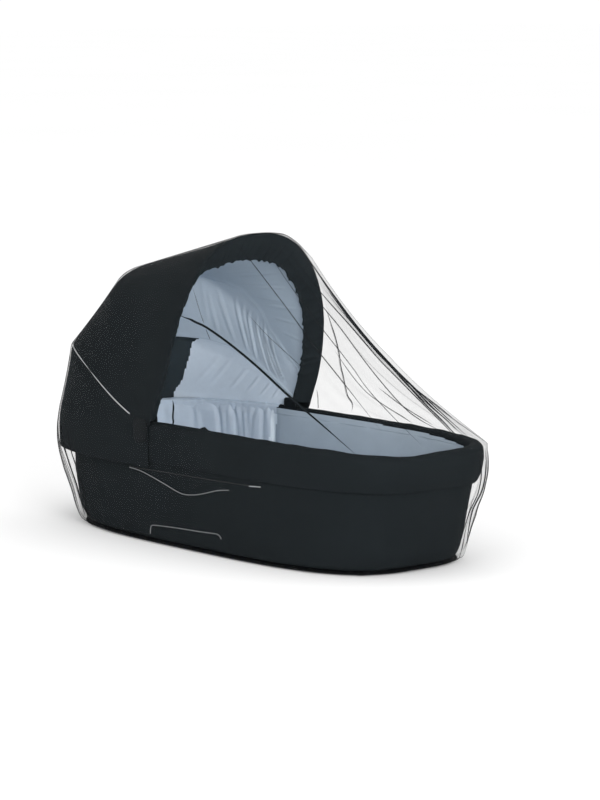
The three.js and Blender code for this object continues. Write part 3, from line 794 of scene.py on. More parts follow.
def hood_flange_object(columns):
    """The band that closes the front of the hood, gathered on an elastic along its inner edge."""
    shares = 0.014 + 0.972 * np.linspace(0.0, 1.0, columns + 1)
    outer = bow_rail(COVER_BOWS["front"], 1.7)(shares)
    inner = bow_rail(OPENING)(shares)
    away = inner - PIVOT
    away /= np.linalg.norm(away, axis=1, keepdims=True)
    lean = math.radians(OPENING["lean"])
    ahead = np.array([math.cos(lean), 0.0, -math.sin(lean)])
    drawn = np.zeros(len(shares))
    for at, spread, inward in GATHERS:
        drawn += inward * bump(shares - at, spread)
    chance = np.random.default_rng(23)
    scallops = np.zeros(len(shares))
    for k in range(SCALLOPS["count"]):
        at = 0.05 + 0.9 * (k + chance.uniform(-0.3, 0.3)) / SCALLOPS["count"]
        off = np.abs(shares - at) / chance.uniform(*SCALLOPS["spread"])
        scallops += chance.uniform(*SCALLOPS["deep"]) * np.clip(1 - off, 0.0, 1.0) ** 1.6
    rows = []
    for depth in np.linspace(0.0, 1.0, 13):
        points = outer * (1 - depth) + inner * depth
        points = points - away * (drawn * depth + scallops * depth**3)[:, None]
        puff = 3.0 * math.sin(math.pi * depth) + scallops * 0.8 * depth * (1 - depth) * 4
        rows.append(points + ahead * np.broadcast_to(puff, shares.shape)[:, None] * 0.6)
    edge = rows[-1]
    for turn in np.linspace(0.3, math.pi, 6):
        rows.append(edge - away * FLANGE_HEM * math.sin(turn) - ahead * FLANGE_HEM * (1 - math.cos(turn)))
    cloth = Cloth()
    grid = np.array(rows)
    flat = flat_grid(grid)
    lift = unevenness(flat, seed=5, waves=12, lengths=(0.04, 0.12), high=0.35)
    cloth.add(grid, lift=lift, turned=True, flat=flat)
    return cloth.build("hood_flange_cloth", THICK["flange"])


# Creases of the hood's lining on its far half: from u, from v, to u, to v in metres on the flat lining,
# width and lift in millimetres. The near half has them too, mirrored and a little weaker.
LINING_CREASES = [
    # upper panel, nearly level
    (0.470, 0.020, 0.436, 0.120, 2.4, 1.5),
    (0.500, 0.030, 0.466, 0.125, 2.9, 1.7),
    (0.528, 0.012, 0.494, 0.090, 2.4, 1.6),
    (0.548, 0.050, 0.514, 0.130, 2.4, 1.8),
    (0.572, 0.018, 0.538, 0.112, 3.0, 1.9),
    (0.596, 0.040, 0.562, 0.128, 2.4, 1.7),
    (0.618, 0.020, 0.584, 0.100, 2.6, 1.8),
    (0.640, 0.050, 0.606, 0.126, 2.4, 1.7),
    (0.668, 0.020, 0.634, 0.110, 2.8, 1.7),
    (0.700, 0.030, 0.666, 0.110, 2.4, 1.5),
    (0.738, 0.030, 0.704, 0.100, 2.4, 1.4),
    # middle panel, fanning out from the pivot
    (0.560, 0.176, 0.664, 0.252, 3.6, 2.8),
    (0.545, 0.190, 0.628, 0.262, 3.4, 2.0),
    (0.600, 0.160, 0.700, 0.252, 3.2, 3.2),
    (0.622, 0.158, 0.704, 0.240, 2.6, 2.4),
    (0.640, 0.156, 0.728, 0.254, 3.2, 3.6),
    (0.648, 0.150, 0.750, 0.250, 2.4, 2.6),
    (0.655, 0.148, 0.770, 0.256, 2.8, 3.6),
    (0.668, 0.146, 0.786, 0.252, 2.4, 2.8),
    (0.680, 0.146, 0.800, 0.252, 3.0, 3.6),
    (0.668, 0.138, 0.812, 0.236, 2.8, 3.6),
    (0.684, 0.136, 0.822, 0.232, 2.2, 2.6),
    (0.700, 0.140, 0.826, 0.226, 2.6, 3.2),
    (0.520, 0.170, 0.590, 0.250, 4.0, 1.2),
    (0.480, 0.170, 0.520, 0.255, 4.5, 1.0),
    # lower panel, slanting down from the pivot
    (0.690, 0.290, 0.636, 0.372, 4.0, 1.8),
    (0.735, 0.280, 0.686, 0.374, 4.2, 2.2),
    (0.765, 0.284, 0.728, 0.374, 3.6, 2.0),
    (0.790, 0.290, 0.766, 0.376, 3.4, 1.8),
    (0.660, 0.300, 0.604, 0.372, 4.2, 1.5),
    (0.815, 0.280, 0.800, 0.370, 3.0, 2.0),
    (0.710, 0.330, 0.650, 0.378, 3.4, 1.4),
]
# The seams of the hood's lining on its far half, in metres on the flat lining.
LINING_SEAMS = {
    "upper": [
        (0.428, 0.2),
        (0.5, 0.19),
        (0.537, 0.173),
        (0.56, 0.148),
        (0.586, 0.137),
        (0.651, 0.137),
        (0.695, 0.142),
        (0.731, 0.13),
        (0.769, 0.107),
        (0.812, 0.03),
        (0.856, 0.012),
    ],
    "lower": [
        (0.428, 0.302),
        (0.551, 0.3),
        (0.582, 0.2905),
        (0.609, 0.28),
        (0.641, 0.272),
        (0.667, 0.265),
        (0.694, 0.263),
        (0.856, 0.262),
    ],
}
# Half the width of the black window in the lower panel at the head end, at shares of its height, in metres.
WINDOW_HALF = [(0.0, 0.164), (0.2, 0.158), (0.55, 0.15), (0.77, 0.1465), (0.9, 0.142), (1.0, 0.1365)]


def seamed(grid, flat, rows):
    """Shifts the rows of a grid along its columns, so that panels meet on the lining's seams."""
    half = flat[0, -1, 0] / 2
    across = half + np.abs(flat[0, :, 0] - half)
    upper = np.interp(across, *zip(*LINING_SEAMS["upper"]))
    lower = np.interp(across, *zip(*LINING_SEAMS["lower"]))
    grid, flat = grid.copy(), flat.copy()
    at = np.cumsum((0,) + rows)
    for column in range(grid.shape[1]):
        down = flat[:, column, 1].copy()
        stops = [0.0, upper[column], lower[column], down[-1]]
        shifted = np.interp(np.arange(len(down)), at, stops)
        for axis in range(3):
            grid[:, column, axis] = np.interp(shifted, down, grid[:, column, axis])
        flat[:, column, 1] = shifted
    return grid, flat


def hood_lining_object(columns):
    """The hood's pale lining, in three panels inside the bows."""
    raised = np.array([0.0, 0.0, LINING_RAISED])
    shares = 0.02 + 0.96 * np.linspace(0.0, 1.0, columns + 1)
    sill = plan_rail(LINING_SILL, False)
    rows = LINING_ROWS
    grid = hood_grid(LINING_BOWS, sill, LINING_SAGS, shares, rows) + raised
    grid[1:-1] = softened(grid, 2)[1:-1]
    last = len(grid) - 1
    for share in (1 / 3, 2 / 3, 1.0):
        drop = 6.5 + 1.15 * end_drop(grid[last : last + 1])
        lowered = grid[last : last + 1].copy()
        lowered[..., 2] -= share * drop
        grid = np.concatenate([grid, lowered])
    grid, flat = seamed(grid, flat_grid(grid), (*rows[:2], rows[2] + 3))
    whole = flat[0, -1, 0]
    creases = []
    for u0, v0, u1, v1, wide, high in LINING_CREASES:
        creases.append((u0, v0, u1, v1, 0.8 * wide, -1.7 * high))
        creases.append((whole - u0, v0, whole - u1, v1, wide, -high))
    waves = unevenness(flat, seed=8, waves=16, lengths=(0.05, 0.16), high=0.6)
    lift = -1.4 + waves + crease_lift(flat, creases)
    row = np.arange(len(grid))[:, None]
    for seam in (rows[0], rows[0] + rows[1]):
        lift -= 1.6 * np.exp(-(((row - seam) / 1.1) ** 2))
    lift += 0.9 * (row > rows[0] + rows[1])
    cloth = Cloth()
    first = 0
    for finish, count in enumerate((*rows[:2], rows[2] + 3)):
        part = slice(first, first + count + 1)
        cloth.add(grid[part], lift=lift[part], turned=True, flat=flat[part], finish=finish)
        first += count
    lower = np.arange(len(grid) - 1)[:, None] >= rows[0] + rows[1]
    share = np.clip((np.arange(len(grid) - 1)[:, None] - rows[0] - rows[1]) / rows[2], 0.0, 1.0)
    window = lower & (np.abs(flat[:-1, :-1, 0] - whole / 2) < np.interp(share, *zip(*WINDOW_HALF)))
    finish = np.concatenate(cloth.finishes)
    finish[window.reshape(-1)] = 3
    cloth.finishes = [finish]
    return cloth.build("hood_lining_cloth", THICK["hood_lining"])


# A pinch of the near rim that stands up: its place along X, how high it is and its spread.
RIM_NOTCH = {"at": 5.0, "high": 6.0, "spread": 5.5}
# Slow ripples of the rim's top at the foot end: how high and how long they are, and where they start.
RIM_RIPPLE = {"high": 0.9, "length": 13.0, "from": 150.0}
# The rim lies under the hood behind this place along X. There its inner edge is gathered and tucked in.
UNDER_HOOD = -201.0
TUCK = 5.0
# How far the near rim stands above the far one, at places along X, in millimetres.
NEAR_RISE = [(-300, 0.0), (-230, 5.0), (-60, 7.0), (180, 5.5), (330, 3.5), (440, -3.5), (480, -3.5)]
# How far the inside of the rim is black, down from its top on the far side, at places along X.
RIM_BLACK = [(-188, 6.0), (120, 7.0), (230, 8.0), (300, 11.0), (360, 14.0), (420, 17.0), (446, 20.0)]


def end_drop(points):
    """How far the cot's edge lies lower towards its head end, under the hood."""
    return 9.0 * np.clip((-200 - points[..., 0]) / 290, 0.0, 1.0)


def edge_shift(points):
    """Moves points of the cot near its rim to where the edge really runs, up or down."""
    near = np.clip(-points[..., 1] / 60, 0.0, 1.0) * np.interp(points[..., 0], *zip(*NEAR_RISE))
    share = np.clip((points[..., 2] - 160) / 60, 0.0, 1.0)
    moved = points.copy()
    moved[..., 2] += (near - end_drop(points)) * share * share * (3 - 2 * share)
    return moved


def rim_band_object(columns):
    """The padded band over the cot's rim, from outside to in."""
    grid = loop_grid(RIM, BAND_ROWS, even_turns(RIM[3], columns))
    flat = flat_grid(grid)
    around = ring_grid(flat) + flat[..., 1:2] * 0.7
    lift = unevenness(around, seed=13, waves=14, lengths=(0.03, 0.12), high=0.35) - 0.4
    crest = int(grid[:, 0, 2].argmax())
    row = np.arange(len(grid))[:, None]
    on_top = np.exp(-(((row - crest) / 4.8) ** 2))
    notch = np.exp(-(((grid[..., 0] - RIM_NOTCH["at"]) / RIM_NOTCH["spread"]) ** 2))
    lift += RIM_NOTCH["high"] * on_top * notch * (grid[..., 1] < 0)
    ripple = np.sin(grid[..., 0] / RIM_RIPPLE["length"]) * (grid[..., 0] > RIM_RIPPLE["from"])
    lift += RIM_RIPPLE["high"] * on_top * ripple
    head = grid[..., 0] < UNDER_HOOD
    upright = flat * np.array([1.0, 0.02])
    gathers = unevenness(upright, seed=31, waves=12, lengths=(0.009, 0.022), high=1.3)
    lift += gathers * head * (row > crest)
    low = grid[crest, :, 2][None] - grid[..., 2]
    black = np.interp(grid[..., 0], *zip(*RIM_BLACK)) + 60 * (grid[..., 0] > 446)
    finish = np.where(head, (row >= crest - 8).astype(int), ((row > crest) & (low > black)) * 2)
    tucked = np.clip((-200 - grid[..., 0]) / 20, 0.0, 1.0) * np.clip((row - crest - 8) / 6, 0.0, 1.0)
    lift = lift - TUCK * tucked
    cloth = Cloth()
    cloth.add(edge_shift(grid), lift=lift, turned=True, flat=flat)
    cloth.finishes = [finish[:-1, :-1].reshape(-1)]
    return cloth.build("rim_band_cloth", THICK["band"])


def cot_cloth_object(columns):
    """The cot's outer cloth, from under the base up to the rim."""
    turns = even_turns(SHELL[-1], columns)
    grid = loop_grid(SHELL, COT_ROWS["wall"], turns)
    grid[..., 2] = np.maximum(grid[..., 2], COT_LOWEST)
    flat = flat_grid(grid)
    around = ring_grid(flat) + flat[..., 1:2] * 0.7
    lift = unevenness(around, seed=17, waves=16, lengths=(0.06, 0.2), high=0.4) - 0.5
    lift *= np.clip(grid[..., 2] / 20, 0.0, 1.0)
    cloth = Cloth()
    cloth.add(edge_shift(grid), lift=lift, turned=True, flat=flat)
    middle = (SHELL[0][1] + SHELL[0][2]) / 2
    shrink = np.linspace(1.0, 0.02, COT_ROWS["base"])[:, None, None]
    base = grid[0][None] * shrink + np.array([middle, 0.0, COT_LOWEST]) * (1 - shrink)
    base[..., 2] = COT_LOWEST
    cloth.add(base)
    return cloth.build("cot_cloth", THICK["cot"])


# Where the gathered wall of the cot's head end starts and stops, and how wide the smooth stripe at
# each side of it is, on the flat lining in metres.
COT_GATHERS = (0.728, 1.47)
STRIPE = 0.016
# The fine gathers of that wall: how many, how long as a share of its height, how high in millimetres and
# their spread in metres.
FINE_GATHERS = {"count": 110, "long": (0.35, 1.0), "high": (0.8, 3.0), "spread": (0.0022, 0.0055)}


def cot_lining_object(columns):
    """The cot's inside: walls gathered at the top, and the floor."""
    turns = even_turns(COT_INSIDE[1], columns)
    grid = loop_grid(COT_INSIDE, COT_LINING_ROWS["wall"], turns)
    flat = flat_grid(grid)
    around = ring_grid(flat) + flat[..., 1:2] * 0.5
    lift = unevenness(around, seed=19, waves=18, lengths=(0.03, 0.1), high=0.5)
    chance = np.random.default_rng(29)
    down = np.linspace(0.0, 1.0, len(grid))[:, None]
    for _ in range(FINE_GATHERS["count"]):
        at = chance.uniform(*COT_GATHERS)
        long = chance.uniform(*FINE_GATHERS["long"])
        off = flat[..., 0] - at - chance.uniform(-0.01, 0.01) * down * 4
        high = chance.uniform(*FINE_GATHERS["high"])
        size = high * np.exp(-((off / chance.uniform(*FINE_GATHERS["spread"])) ** 2))
        lift += size * np.clip((long - down) * 3, 0.0, 1.0)
    for seam in COT_GATHERS:
        lift += 2.4 * np.exp(-(((flat[..., 0] - seam) / 0.007) ** 2))
    lift *= np.clip((230 - grid[..., 2]) / 15, 0.0, 1.0)
    cover = np.clip((-196 - grid[..., 0]) / 12, 0.0, 1.0) * np.clip((grid[..., 2] - 209) / 13, 0.0, 1.0)
    endways = np.where(grid[..., 0] < -400, -1.0, 0.0)
    sideways = np.sign(grid[..., 1]) * (grid[..., 0] > -470)
    grid = grid + np.stack([endways, sideways, 0 * cover], axis=-1) * (5.0 * cover**3)[..., None]
    grid[..., 2] += 9.0 * cover
    lift = lift + 1.6 * cover
    cloth = Cloth()
    cloth.add(edge_shift(grid), lift=lift, flat=flat)
    middle = (COT_INSIDE[-1][1] + COT_INSIDE[-1][2]) / 2
    shrink = np.linspace(1.0, 0.02, COT_LINING_ROWS["floor"])[:, None, None]
    floor = grid[-1][None] * shrink + np.array([middle, 0.0, COT_INSIDE[-1][0]]) * (1 - shrink)
    cloth.add(floor, lift=0.6)
    slant = 0.09 * flat[..., 1] - 0.006
    into = np.minimum(flat[..., 0] - COT_GATHERS[0], COT_GATHERS[1] - flat[..., 0]) - slant
    finish = np.where(into < 0, 1, np.where(into < STRIPE, 2, 0))
    cloth.finishes[0] = finish[:-1, :-1].reshape(-1)
    return cloth.build("cot_lining_cloth", THICK["cot_lining"])


# Piping and trims, as points they run through: x, y, z.
POCKET_PIPING = [
    (-212, -198, 139.5),
    (-180, -199, 137.5),
    (-147, -200, 131.5),
    (-100, -200.5, 120.5),
    (-60, -201, 110.5),
    (-36, -201, 108),
    (-4, -201, 111.5),
    (28, -201, 119),
    (60, -200.6, 127.5),
    (92, -200, 132),
]
POCKET_EDGE = [
    (-212, -198, 141),
    (-100, -200.4, 143.5),
    (20, -201, 145.5),
    (110, -200, 147),
    (176, -197, 149),
]
POCKET_TAB = [(150, -198.2, 147), (165, -197.6, 148), (180, -196.8, 148.6)]
BASE_TRIM = [
    (-147, -198.6, 17),
    (-146, -199, 26),
    (-142.5, -199.3, 33),
    (-134, -199.5, 35.5),
    (-112, -199.7, 37),
    (-60, -199.8, 39.5),
    (4, -199.8, 41.5),
    (48, -199.6, 43.5),
    (60, -199.5, 43),
    (66, -199.4, 39.5),
    (68.5, -199.3, 35),
]
# Each trim: its path, its radius and its finish.
TRIMS = {
    "pocket_piping": (POCKET_PIPING, 0.9, "Dull piping"),
    "pocket_edge": (POCKET_EDGE, 0.8, "Dark binding"),
    "pocket_tab": (POCKET_TAB, 0.9, "Silver piping"),
    "base_trim": (BASE_TRIM, 0.9, "Dull piping"),
}


# A pad's section, from its face's middle round its edge to its back: shares of its size and thickness.
PAD_SECTION = [(0.02, 1.0), (0.5, 1.0), (0.86, 0.97), (0.95, 0.82), (1.0, 0.5), (1.0, 0.0), (0.02, 0.0)]


def pad(name, centre, half, thick):
    """A moulded upright plate along the cot's side, with rounded corners and a soft edge."""
    turn = np.linspace(0.0, 2 * math.pi, 49)
    rim = np.stack([half[0] * bend(np.cos(turn), 5.0), 0 * turn, half[1] * bend(np.sin(turn), 5.0)], axis=-1)
    rows = []
    for share, depth in PAD_SECTION:
        rows.append(np.array(centre) + rim * share + np.array([0.0, thick * depth, 0.0]))
    cloth = Cloth()
    cloth.add(np.array(rows), turned=thick > 0)
    return cloth.build(name)


# How far the hood's piping stands out from the bows' line.
PIPING_PROUD = 0.6


def trim_objects():
    """Piping on the hood's back seam, round the side pockets and over the base, with their finishes."""
    shares = np.linspace(0.058, 0.942, 160)
    ahead = (0.14 * bump(np.minimum(shares, 1 - shares) - 0.21, 0.2))[:, None]
    back, middle = (bow_rail(COVER_BOWS[bow], -PIPING_PROUD)(shares) for bow in ("back", "middle"))
    pieces = [(tube("hood_piping", back * (1 - ahead) + middle * ahead, 1.1), "Silver piping")]
    for name, (knots, radius, finish) in TRIMS.items():
        near = smooth_path(knots, 90)
        pieces.append((tube(name + "_near", near, radius), finish))
        pieces.append((tube(name + "_far", near * np.array([1.0, -1.0, 1.0]), radius), finish))
    return pieces


# Finishes.


def node_group(name, inputs, outputs):
    """An empty shader node group with its sockets."""
    group = bpy.data.node_groups.new(name, "ShaderNodeTree")
    for label, kind, value in inputs:
        socket = group.interface.new_socket(name=label, in_out="INPUT", socket_type=kind)
        if value is not None:
            socket.default_value = value
    for label, kind in outputs:
        group.interface.new_socket(name=label, in_out="OUTPUT", socket_type=kind)
    return group, group.nodes.new("NodeGroupInput"), group.nodes.new("NodeGroupOutput")


def math_node(tree, operation, first, second=None, third=None, clamp=False):
    """A math node fed by sockets or plain numbers. Gives its output."""
    node = tree.nodes.new("ShaderNodeMath")
    node.operation = operation
    node.use_clamp = clamp
    for socket, value in zip(node.inputs, (first, second, third)):
        if value is None:
            continue
        if isinstance(value, bpy.types.NodeSocket):
            tree.links.new(value, socket)
        else:
            socket.default_value = value
    return node.outputs[0]


def weave_group():
    """Threads that cross over and under on the flat cloth."""
    group, into, out = node_group(
        "Woven threads",
        [("Pitch", "NodeSocketFloat", 0.0016), ("Slub", "NodeSocketFloat", 0.3)],
        [("Height", "NodeSocketFloat"), ("Shade", "NodeSocketFloat")],
    )
    flat = group.nodes.new("ShaderNodeUVMap")
    flat.uv_map = "flat"
    apart = group.nodes.new("ShaderNodeSeparateXYZ")
    group.links.new(flat.outputs[0], apart.inputs[0])
    turn = math_node(group, "DIVIDE", math.pi, into.outputs["Pitch"])
    warp = math_node(group, "SINE", math_node(group, "MULTIPLY", apart.outputs[0], turn))
    weft = math_node(group, "SINE", math_node(group, "MULTIPLY", apart.outputs[1], turn))
    cross = math_node(group, "MULTIPLY", warp, weft)
    round_warp = math_node(group, "SUBTRACT", 1.0, math_node(group, "MULTIPLY", warp, warp))
    height = math_node(group, "MULTIPLY_ADD", cross, 0.5, math_node(group, "MULTIPLY", round_warp, 0.25))
    slub = group.nodes.new("ShaderNodeTexNoise")
    slub.inputs["Scale"].default_value = 260.0
    slub.inputs["Detail"].default_value = 2.0
    stretch = group.nodes.new("ShaderNodeVectorMath")
    stretch.operation = "MULTIPLY"
    stretch.inputs[1].default_value = (0.12, 1.0, 1.0)
    group.links.new(flat.outputs[0], stretch.inputs[0])
    group.links.new(stretch.outputs[0], slub.inputs["Vector"])
    uneven = math_node(group, "MULTIPLY", slub.outputs[0], into.outputs["Slub"])
    group.links.new(math_node(group, "ADD", height, uneven), out.inputs["Height"])
    shade = math_node(group, "MULTIPLY_ADD", cross, 0.5, 0.5)
    group.links.new(shade, out.inputs["Shade"])


def wear_group():
    """Slow changes of tone over a piece, as cloth has from dye, handling and dust."""
    group, into, out = node_group(
        "Tone drift",
        [("Scale", "NodeSocketFloat", 9.0), ("Detail", "NodeSocketFloat", 5.0)],
        [("Broad", "NodeSocketFloat"), ("Fine", "NodeSocketFloat")],
    )
    place = group.nodes.new("ShaderNodeTexCoord")
    broad = group.nodes.new("ShaderNodeTexNoise")
    fine = group.nodes.new("ShaderNodeTexNoise")
    for node in (broad, fine):
        group.links.new(place.outputs["Object"], node.inputs["Vector"])
        group.links.new(into.outputs["Detail"], node.inputs["Detail"])
    group.links.new(into.outputs["Scale"], broad.inputs["Scale"])
    group.links.new(math_node(group, "MULTIPLY", into.outputs["Scale"], 14.0), fine.inputs["Scale"])
    group.links.new(broad.outputs[0], out.inputs["Broad"])
    group.links.new(fine.outputs[0], out.inputs["Fine"])


def mesh_group():
    """The threads and holes of knitted net on the flat cloth."""
    group, into, out = node_group(
        "Knitted mesh",
        [("Pitch", "NodeSocketFloat", 0.0022), ("Thread", "NodeSocketFloat", 0.35)],
        [("Cover", "NodeSocketFloat"), ("Height", "NodeSocketFloat")],
    )
    flat = group.nodes.new("ShaderNodeUVMap")
    flat.uv_map = "flat"
    apart = group.nodes.new("ShaderNodeSeparateXYZ")
    group.links.new(flat.outputs[0], apart.inputs[0])
    turn = math_node(group, "DIVIDE", 2 * math.pi, into.outputs["Pitch"])
    across = math_node(group, "MULTIPLY", apart.outputs[0], turn)
    down = math_node(group, "MULTIPLY", apart.outputs[1], turn)
    one = math_node(group, "COSINE", across)
    slanted = []
    for share in (0.5, -0.5):
        aside = math_node(group, "MULTIPLY", across, share)
        slanted.append(math_node(group, "COSINE", math_node(group, "MULTIPLY_ADD", down, 0.866, aside)))
    total = math_node(group, "ADD", one, math_node(group, "ADD", *slanted))
    cover = math_node(group, "MULTIPLY_ADD", total, -0.33, into.outputs["Thread"], clamp=True)
    group.links.new(cover, out.inputs["Cover"])
    group.links.new(total, out.inputs["Height"])


def placed(material, group, values):
    """Places a node group in a material with its own values."""
    node = material.node_tree.nodes.new("ShaderNodeGroup")
    node.node_tree = bpy.data.node_groups[group]
    for label, value in values.items():
        node.inputs[label].default_value = value
    return node


def new_material(name):
    """A new material with its node tree and its shader."""
    material = bpy.data.materials.new(name)
    material.use_nodes = True
    return material, material.node_tree, material.node_tree.nodes["Principled BSDF"]


def toned(tree, color, mask, dark, light):
    """A colour that runs from a darker to a lighter tone of itself with a mask."""
    ramp = tree.nodes.new("ShaderNodeMix")
    ramp.data_type = "RGBA"
    ramp.inputs["A"].default_value = (*[c * dark for c in color[:3]], 1.0)
    ramp.inputs["B"].default_value = (*[min(c * light, 1.0) for c in color[:3]], 1.0)
    tree.links.new(mask, ramp.inputs["Factor"])
    return ramp.outputs["Result"]


def woven_material(name, color, roughness=0.9, pitch=0.0016, depth=0.14, dark=0.85, light=1.1, gloss=0.25):
    """Plain woven cloth with threads, slubs and slow changes of tone."""
    material, tree, shader = new_material(name)
    weave = placed(material, "Woven threads", {"Pitch": pitch, "Slub": 0.3})
    drift = placed(material, "Tone drift", {"Scale": 8.0, "Detail": 4.0})
    mask = math_node(tree, "MULTIPLY", drift.outputs["Broad"], 0.55)
    mask = math_node(tree, "MULTIPLY_ADD", drift.outputs["Fine"], 0.25, mask)
    mask = math_node(tree, "MULTIPLY_ADD", weave.outputs["Shade"], 0.2, mask, clamp=True)
    tree.links.new(toned(tree, color, mask, dark, light), shader.inputs["Base Color"])
    rough = math_node(tree, "MULTIPLY_ADD", drift.outputs["Fine"], 0.12, roughness - 0.06, clamp=True)
    tree.links.new(rough, shader.inputs["Roughness"])
    raised = tree.nodes.new("ShaderNodeBump")
    raised.inputs["Strength"].default_value = 0.6
    raised.inputs["Distance"].default_value = depth * MM
    height = math_node(tree, "MULTIPLY_ADD", drift.outputs["Fine"], 0.5, weave.outputs["Height"])
    tree.links.new(height, raised.inputs["Height"])
    tree.links.new(raised.outputs[0], shader.inputs["Normal"])
    shader.inputs["Specular IOR Level"].default_value = gloss


def net_material(name, color, sheer, pitch=0.0022):
    """Sheer knitted net. It looks denser where it is seen at a slant."""
    material, tree, shader = new_material(name)
    mesh = placed(material, "Knitted mesh", {"Pitch": pitch, "Thread": 0.5})
    drift = placed(material, "Tone drift", {"Scale": 12.0, "Detail": 3.0})
    tree.links.new(toned(tree, color, drift.outputs["Broad"], 0.8, 1.2), shader.inputs["Base Color"])
    slant = tree.nodes.new("ShaderNodeLayerWeight")
    slant.inputs["Blend"].default_value = 0.5
    upright = math_node(tree, "MAXIMUM", math_node(tree, "SUBTRACT", 1.0, slant.outputs["Facing"]), 0.04)
    cover = math_node(tree, "MULTIPLY_ADD", mesh.outputs["Cover"], 0.8 * sheer, 0.6 * sheer)
    uneven = math_node(tree, "MULTIPLY_ADD", drift.outputs["Fine"], 0.5, 0.75)
    cover = math_node(tree, "MULTIPLY", cover, uneven)
    tree.links.new(math_node(tree, "DIVIDE", cover, upright, clamp=True), shader.inputs["Alpha"])
    raised = tree.nodes.new("ShaderNodeBump")
    raised.inputs["Distance"].default_value = 0.1 * MM
    tree.links.new(mesh.outputs["Height"], raised.inputs["Height"])
    tree.links.new(raised.outputs[0], shader.inputs["Normal"])
    shader.inputs["Roughness"].default_value = 0.8
    shader.inputs["Specular IOR Level"].default_value = 0.15


def worn_material(name, color, metallic, roughness, gloss):
    """Metal tube or moulded plastic with fine scuffs."""
    material, tree, shader = new_material(name)
    drift = placed(material, "Tone drift", {"Scale": 22.0, "Detail": 6.0})
    tree.links.new(toned(tree, color, drift.outputs["Broad"], 0.85, 1.1), shader.inputs["Base Color"])
    rough = math_node(tree, "MULTIPLY_ADD", drift.outputs["Fine"], 0.2, roughness - 0.1, clamp=True)
    tree.links.new(rough, shader.inputs["Roughness"])
    shader.inputs["Metallic"].default_value = metallic
    shader.inputs["Specular IOR Level"].default_value = gloss
    raised = tree.nodes.new("ShaderNodeBump")
    raised.inputs["Distance"].default_value = 0.04 * MM
    tree.links.new(drift.outputs["Fine"], raised.inputs["Height"])
    tree.links.new(raised.outputs[0], shader.inputs["Normal"])


def dress(thing, *names):
    """Puts finishes in the slots of a piece, in their order."""
    slots = thing.data.materials
    for number, name in enumerate(names):
        if number < len(slots):
            slots[number] = bpy.data.materials[name]
        else:
            slots.append(bpy.data.materials[name])


# Settings.

COLOR = {"size": 3, "min": 0, "max": 1, "subtype": "COLOR"}


class CarrycotNetSettings(PropertyGroup):
    """Sizes and colours of the net"""

    columns: IntProperty(
        name="Columns",
        description="Columns of the net along its rim",
        default=240,
        min=60,
        max=320,
    )
    sheer: FloatProperty(
        name="Sheerness",
        description="How much of the light one layer of net holds back",
        default=0.05,
        min=0.01,
        max=0.5,
        subtype="FACTOR",
    )
    pleat_sheer: FloatProperty(
        name="Pleat Cover",
        description="How much of the light a pinched pleat holds back",
        default=0.42,
        min=0.05,
        max=1.0,
        subtype="FACTOR",
    )
    pitch: FloatProperty(
        name="Mesh Pitch",
        description="Distance from hole to hole of the net",
        default=0.0022,
        min=0.0008,
        max=0.006,
        unit="LENGTH",
    )
    color: FloatVectorProperty(
        name="Net Colour",
        description="Colour of the net's threads",
        default=(0.013, 0.015, 0.017),
        **COLOR,
    )


class CarrycotClothSettings(PropertyGroup):
    """Sizes and colours of the hood's and the cot's cloths"""

    columns: IntProperty(
        name="Columns",
        description="Columns round the cot and across the hood",
        default=240,
        min=60,
        max=320,
    )
    black: FloatVectorProperty(
        name="Outer Cloth",
        description="Colour of the hood's and the cot's outer cloth",
        default=(0.0105, 0.0135, 0.0152),
        **COLOR,
    )
    upper_lining: FloatVectorProperty(
        name="Upper Lining",
        description="Colour of the lining's upper panel",
        default=(0.46, 0.54, 0.62),
        **COLOR,
    )
    middle_lining: FloatVectorProperty(
        name="Middle Lining",
        description="Colour of the lining's middle panel",
        default=(0.57, 0.65, 0.73),
        **COLOR,
    )
    lining: FloatVectorProperty(
        name="Lower Lining",
        description="Colour of the lining's lower panel",
        default=(0.75, 0.83, 0.92),
        **COLOR,
    )
    cot_lining: FloatVectorProperty(
        name="Cot Lining",
        description="Colour of the cot's lining at the head end",
        default=(0.62, 0.7, 0.79),
        **COLOR,
    )
    foot_lining: FloatVectorProperty(
        name="Foot Lining",
        description="Colour of the cot's lining at the foot end",
        default=(0.42, 0.49, 0.56),
        **COLOR,
    )
    piping: FloatVectorProperty(
        name="Piping",
        description="Colour of the silver piping",
        default=(0.45, 0.47, 0.48),
        **COLOR,
    )


class CarrycotStageSettings(PropertyGroup):
    """The camera and the light"""

    azimuth: FloatProperty(
        name="Camera Azimuth",
        description="How far the camera stands round to the foot end",
        default=math.radians(48.96),
        subtype="ANGLE",
    )
    elevation: FloatProperty(
        name="Camera Elevation",
        description="How far the camera looks down",
        default=math.radians(7.74),
        subtype="ANGLE",
    )
    distance: FloatProperty(
        name="Camera Distance",
        description="From the camera to the middle of the view",
        default=6.154,
        min=1,
        max=20,
        unit="LENGTH",
    )
    lens: FloatProperty(
        name="Lens",
        description="Focal length in millimetres",
        default=144.4,
        min=20,
        max=300,
    )
    ambient: FloatProperty(
        name="Ambient Light",
        description="Strength of the soft light from all round",
        default=1.03,
        min=0,
        max=5,
    )
    key: FloatProperty(
        name="Key Light",
        description="Power of the large light over the camera's left, in watts",
        default=130.0,
        min=0,
        max=2000,
    )
    fill: FloatProperty(
        name="Fill Light",
        description="Power of the large light on the right, in watts",
        default=20.0,
        min=0,
        max=2000,
    )


# Operators.

# What the hood's cloths rest on.
# The plate outside each of the hood's pivots and the stop inside it: middle, half the size, thickness.
HINGE_PLATE = {"middle": (-166.0, 206.6, 219.0), "half": (20.0, 23.0), "thick": 2.2}
HINGE_STOP = {"middle": (-168.0, 180.0, 236.5), "half": (19.0, 10.5), "thick": -4.0}

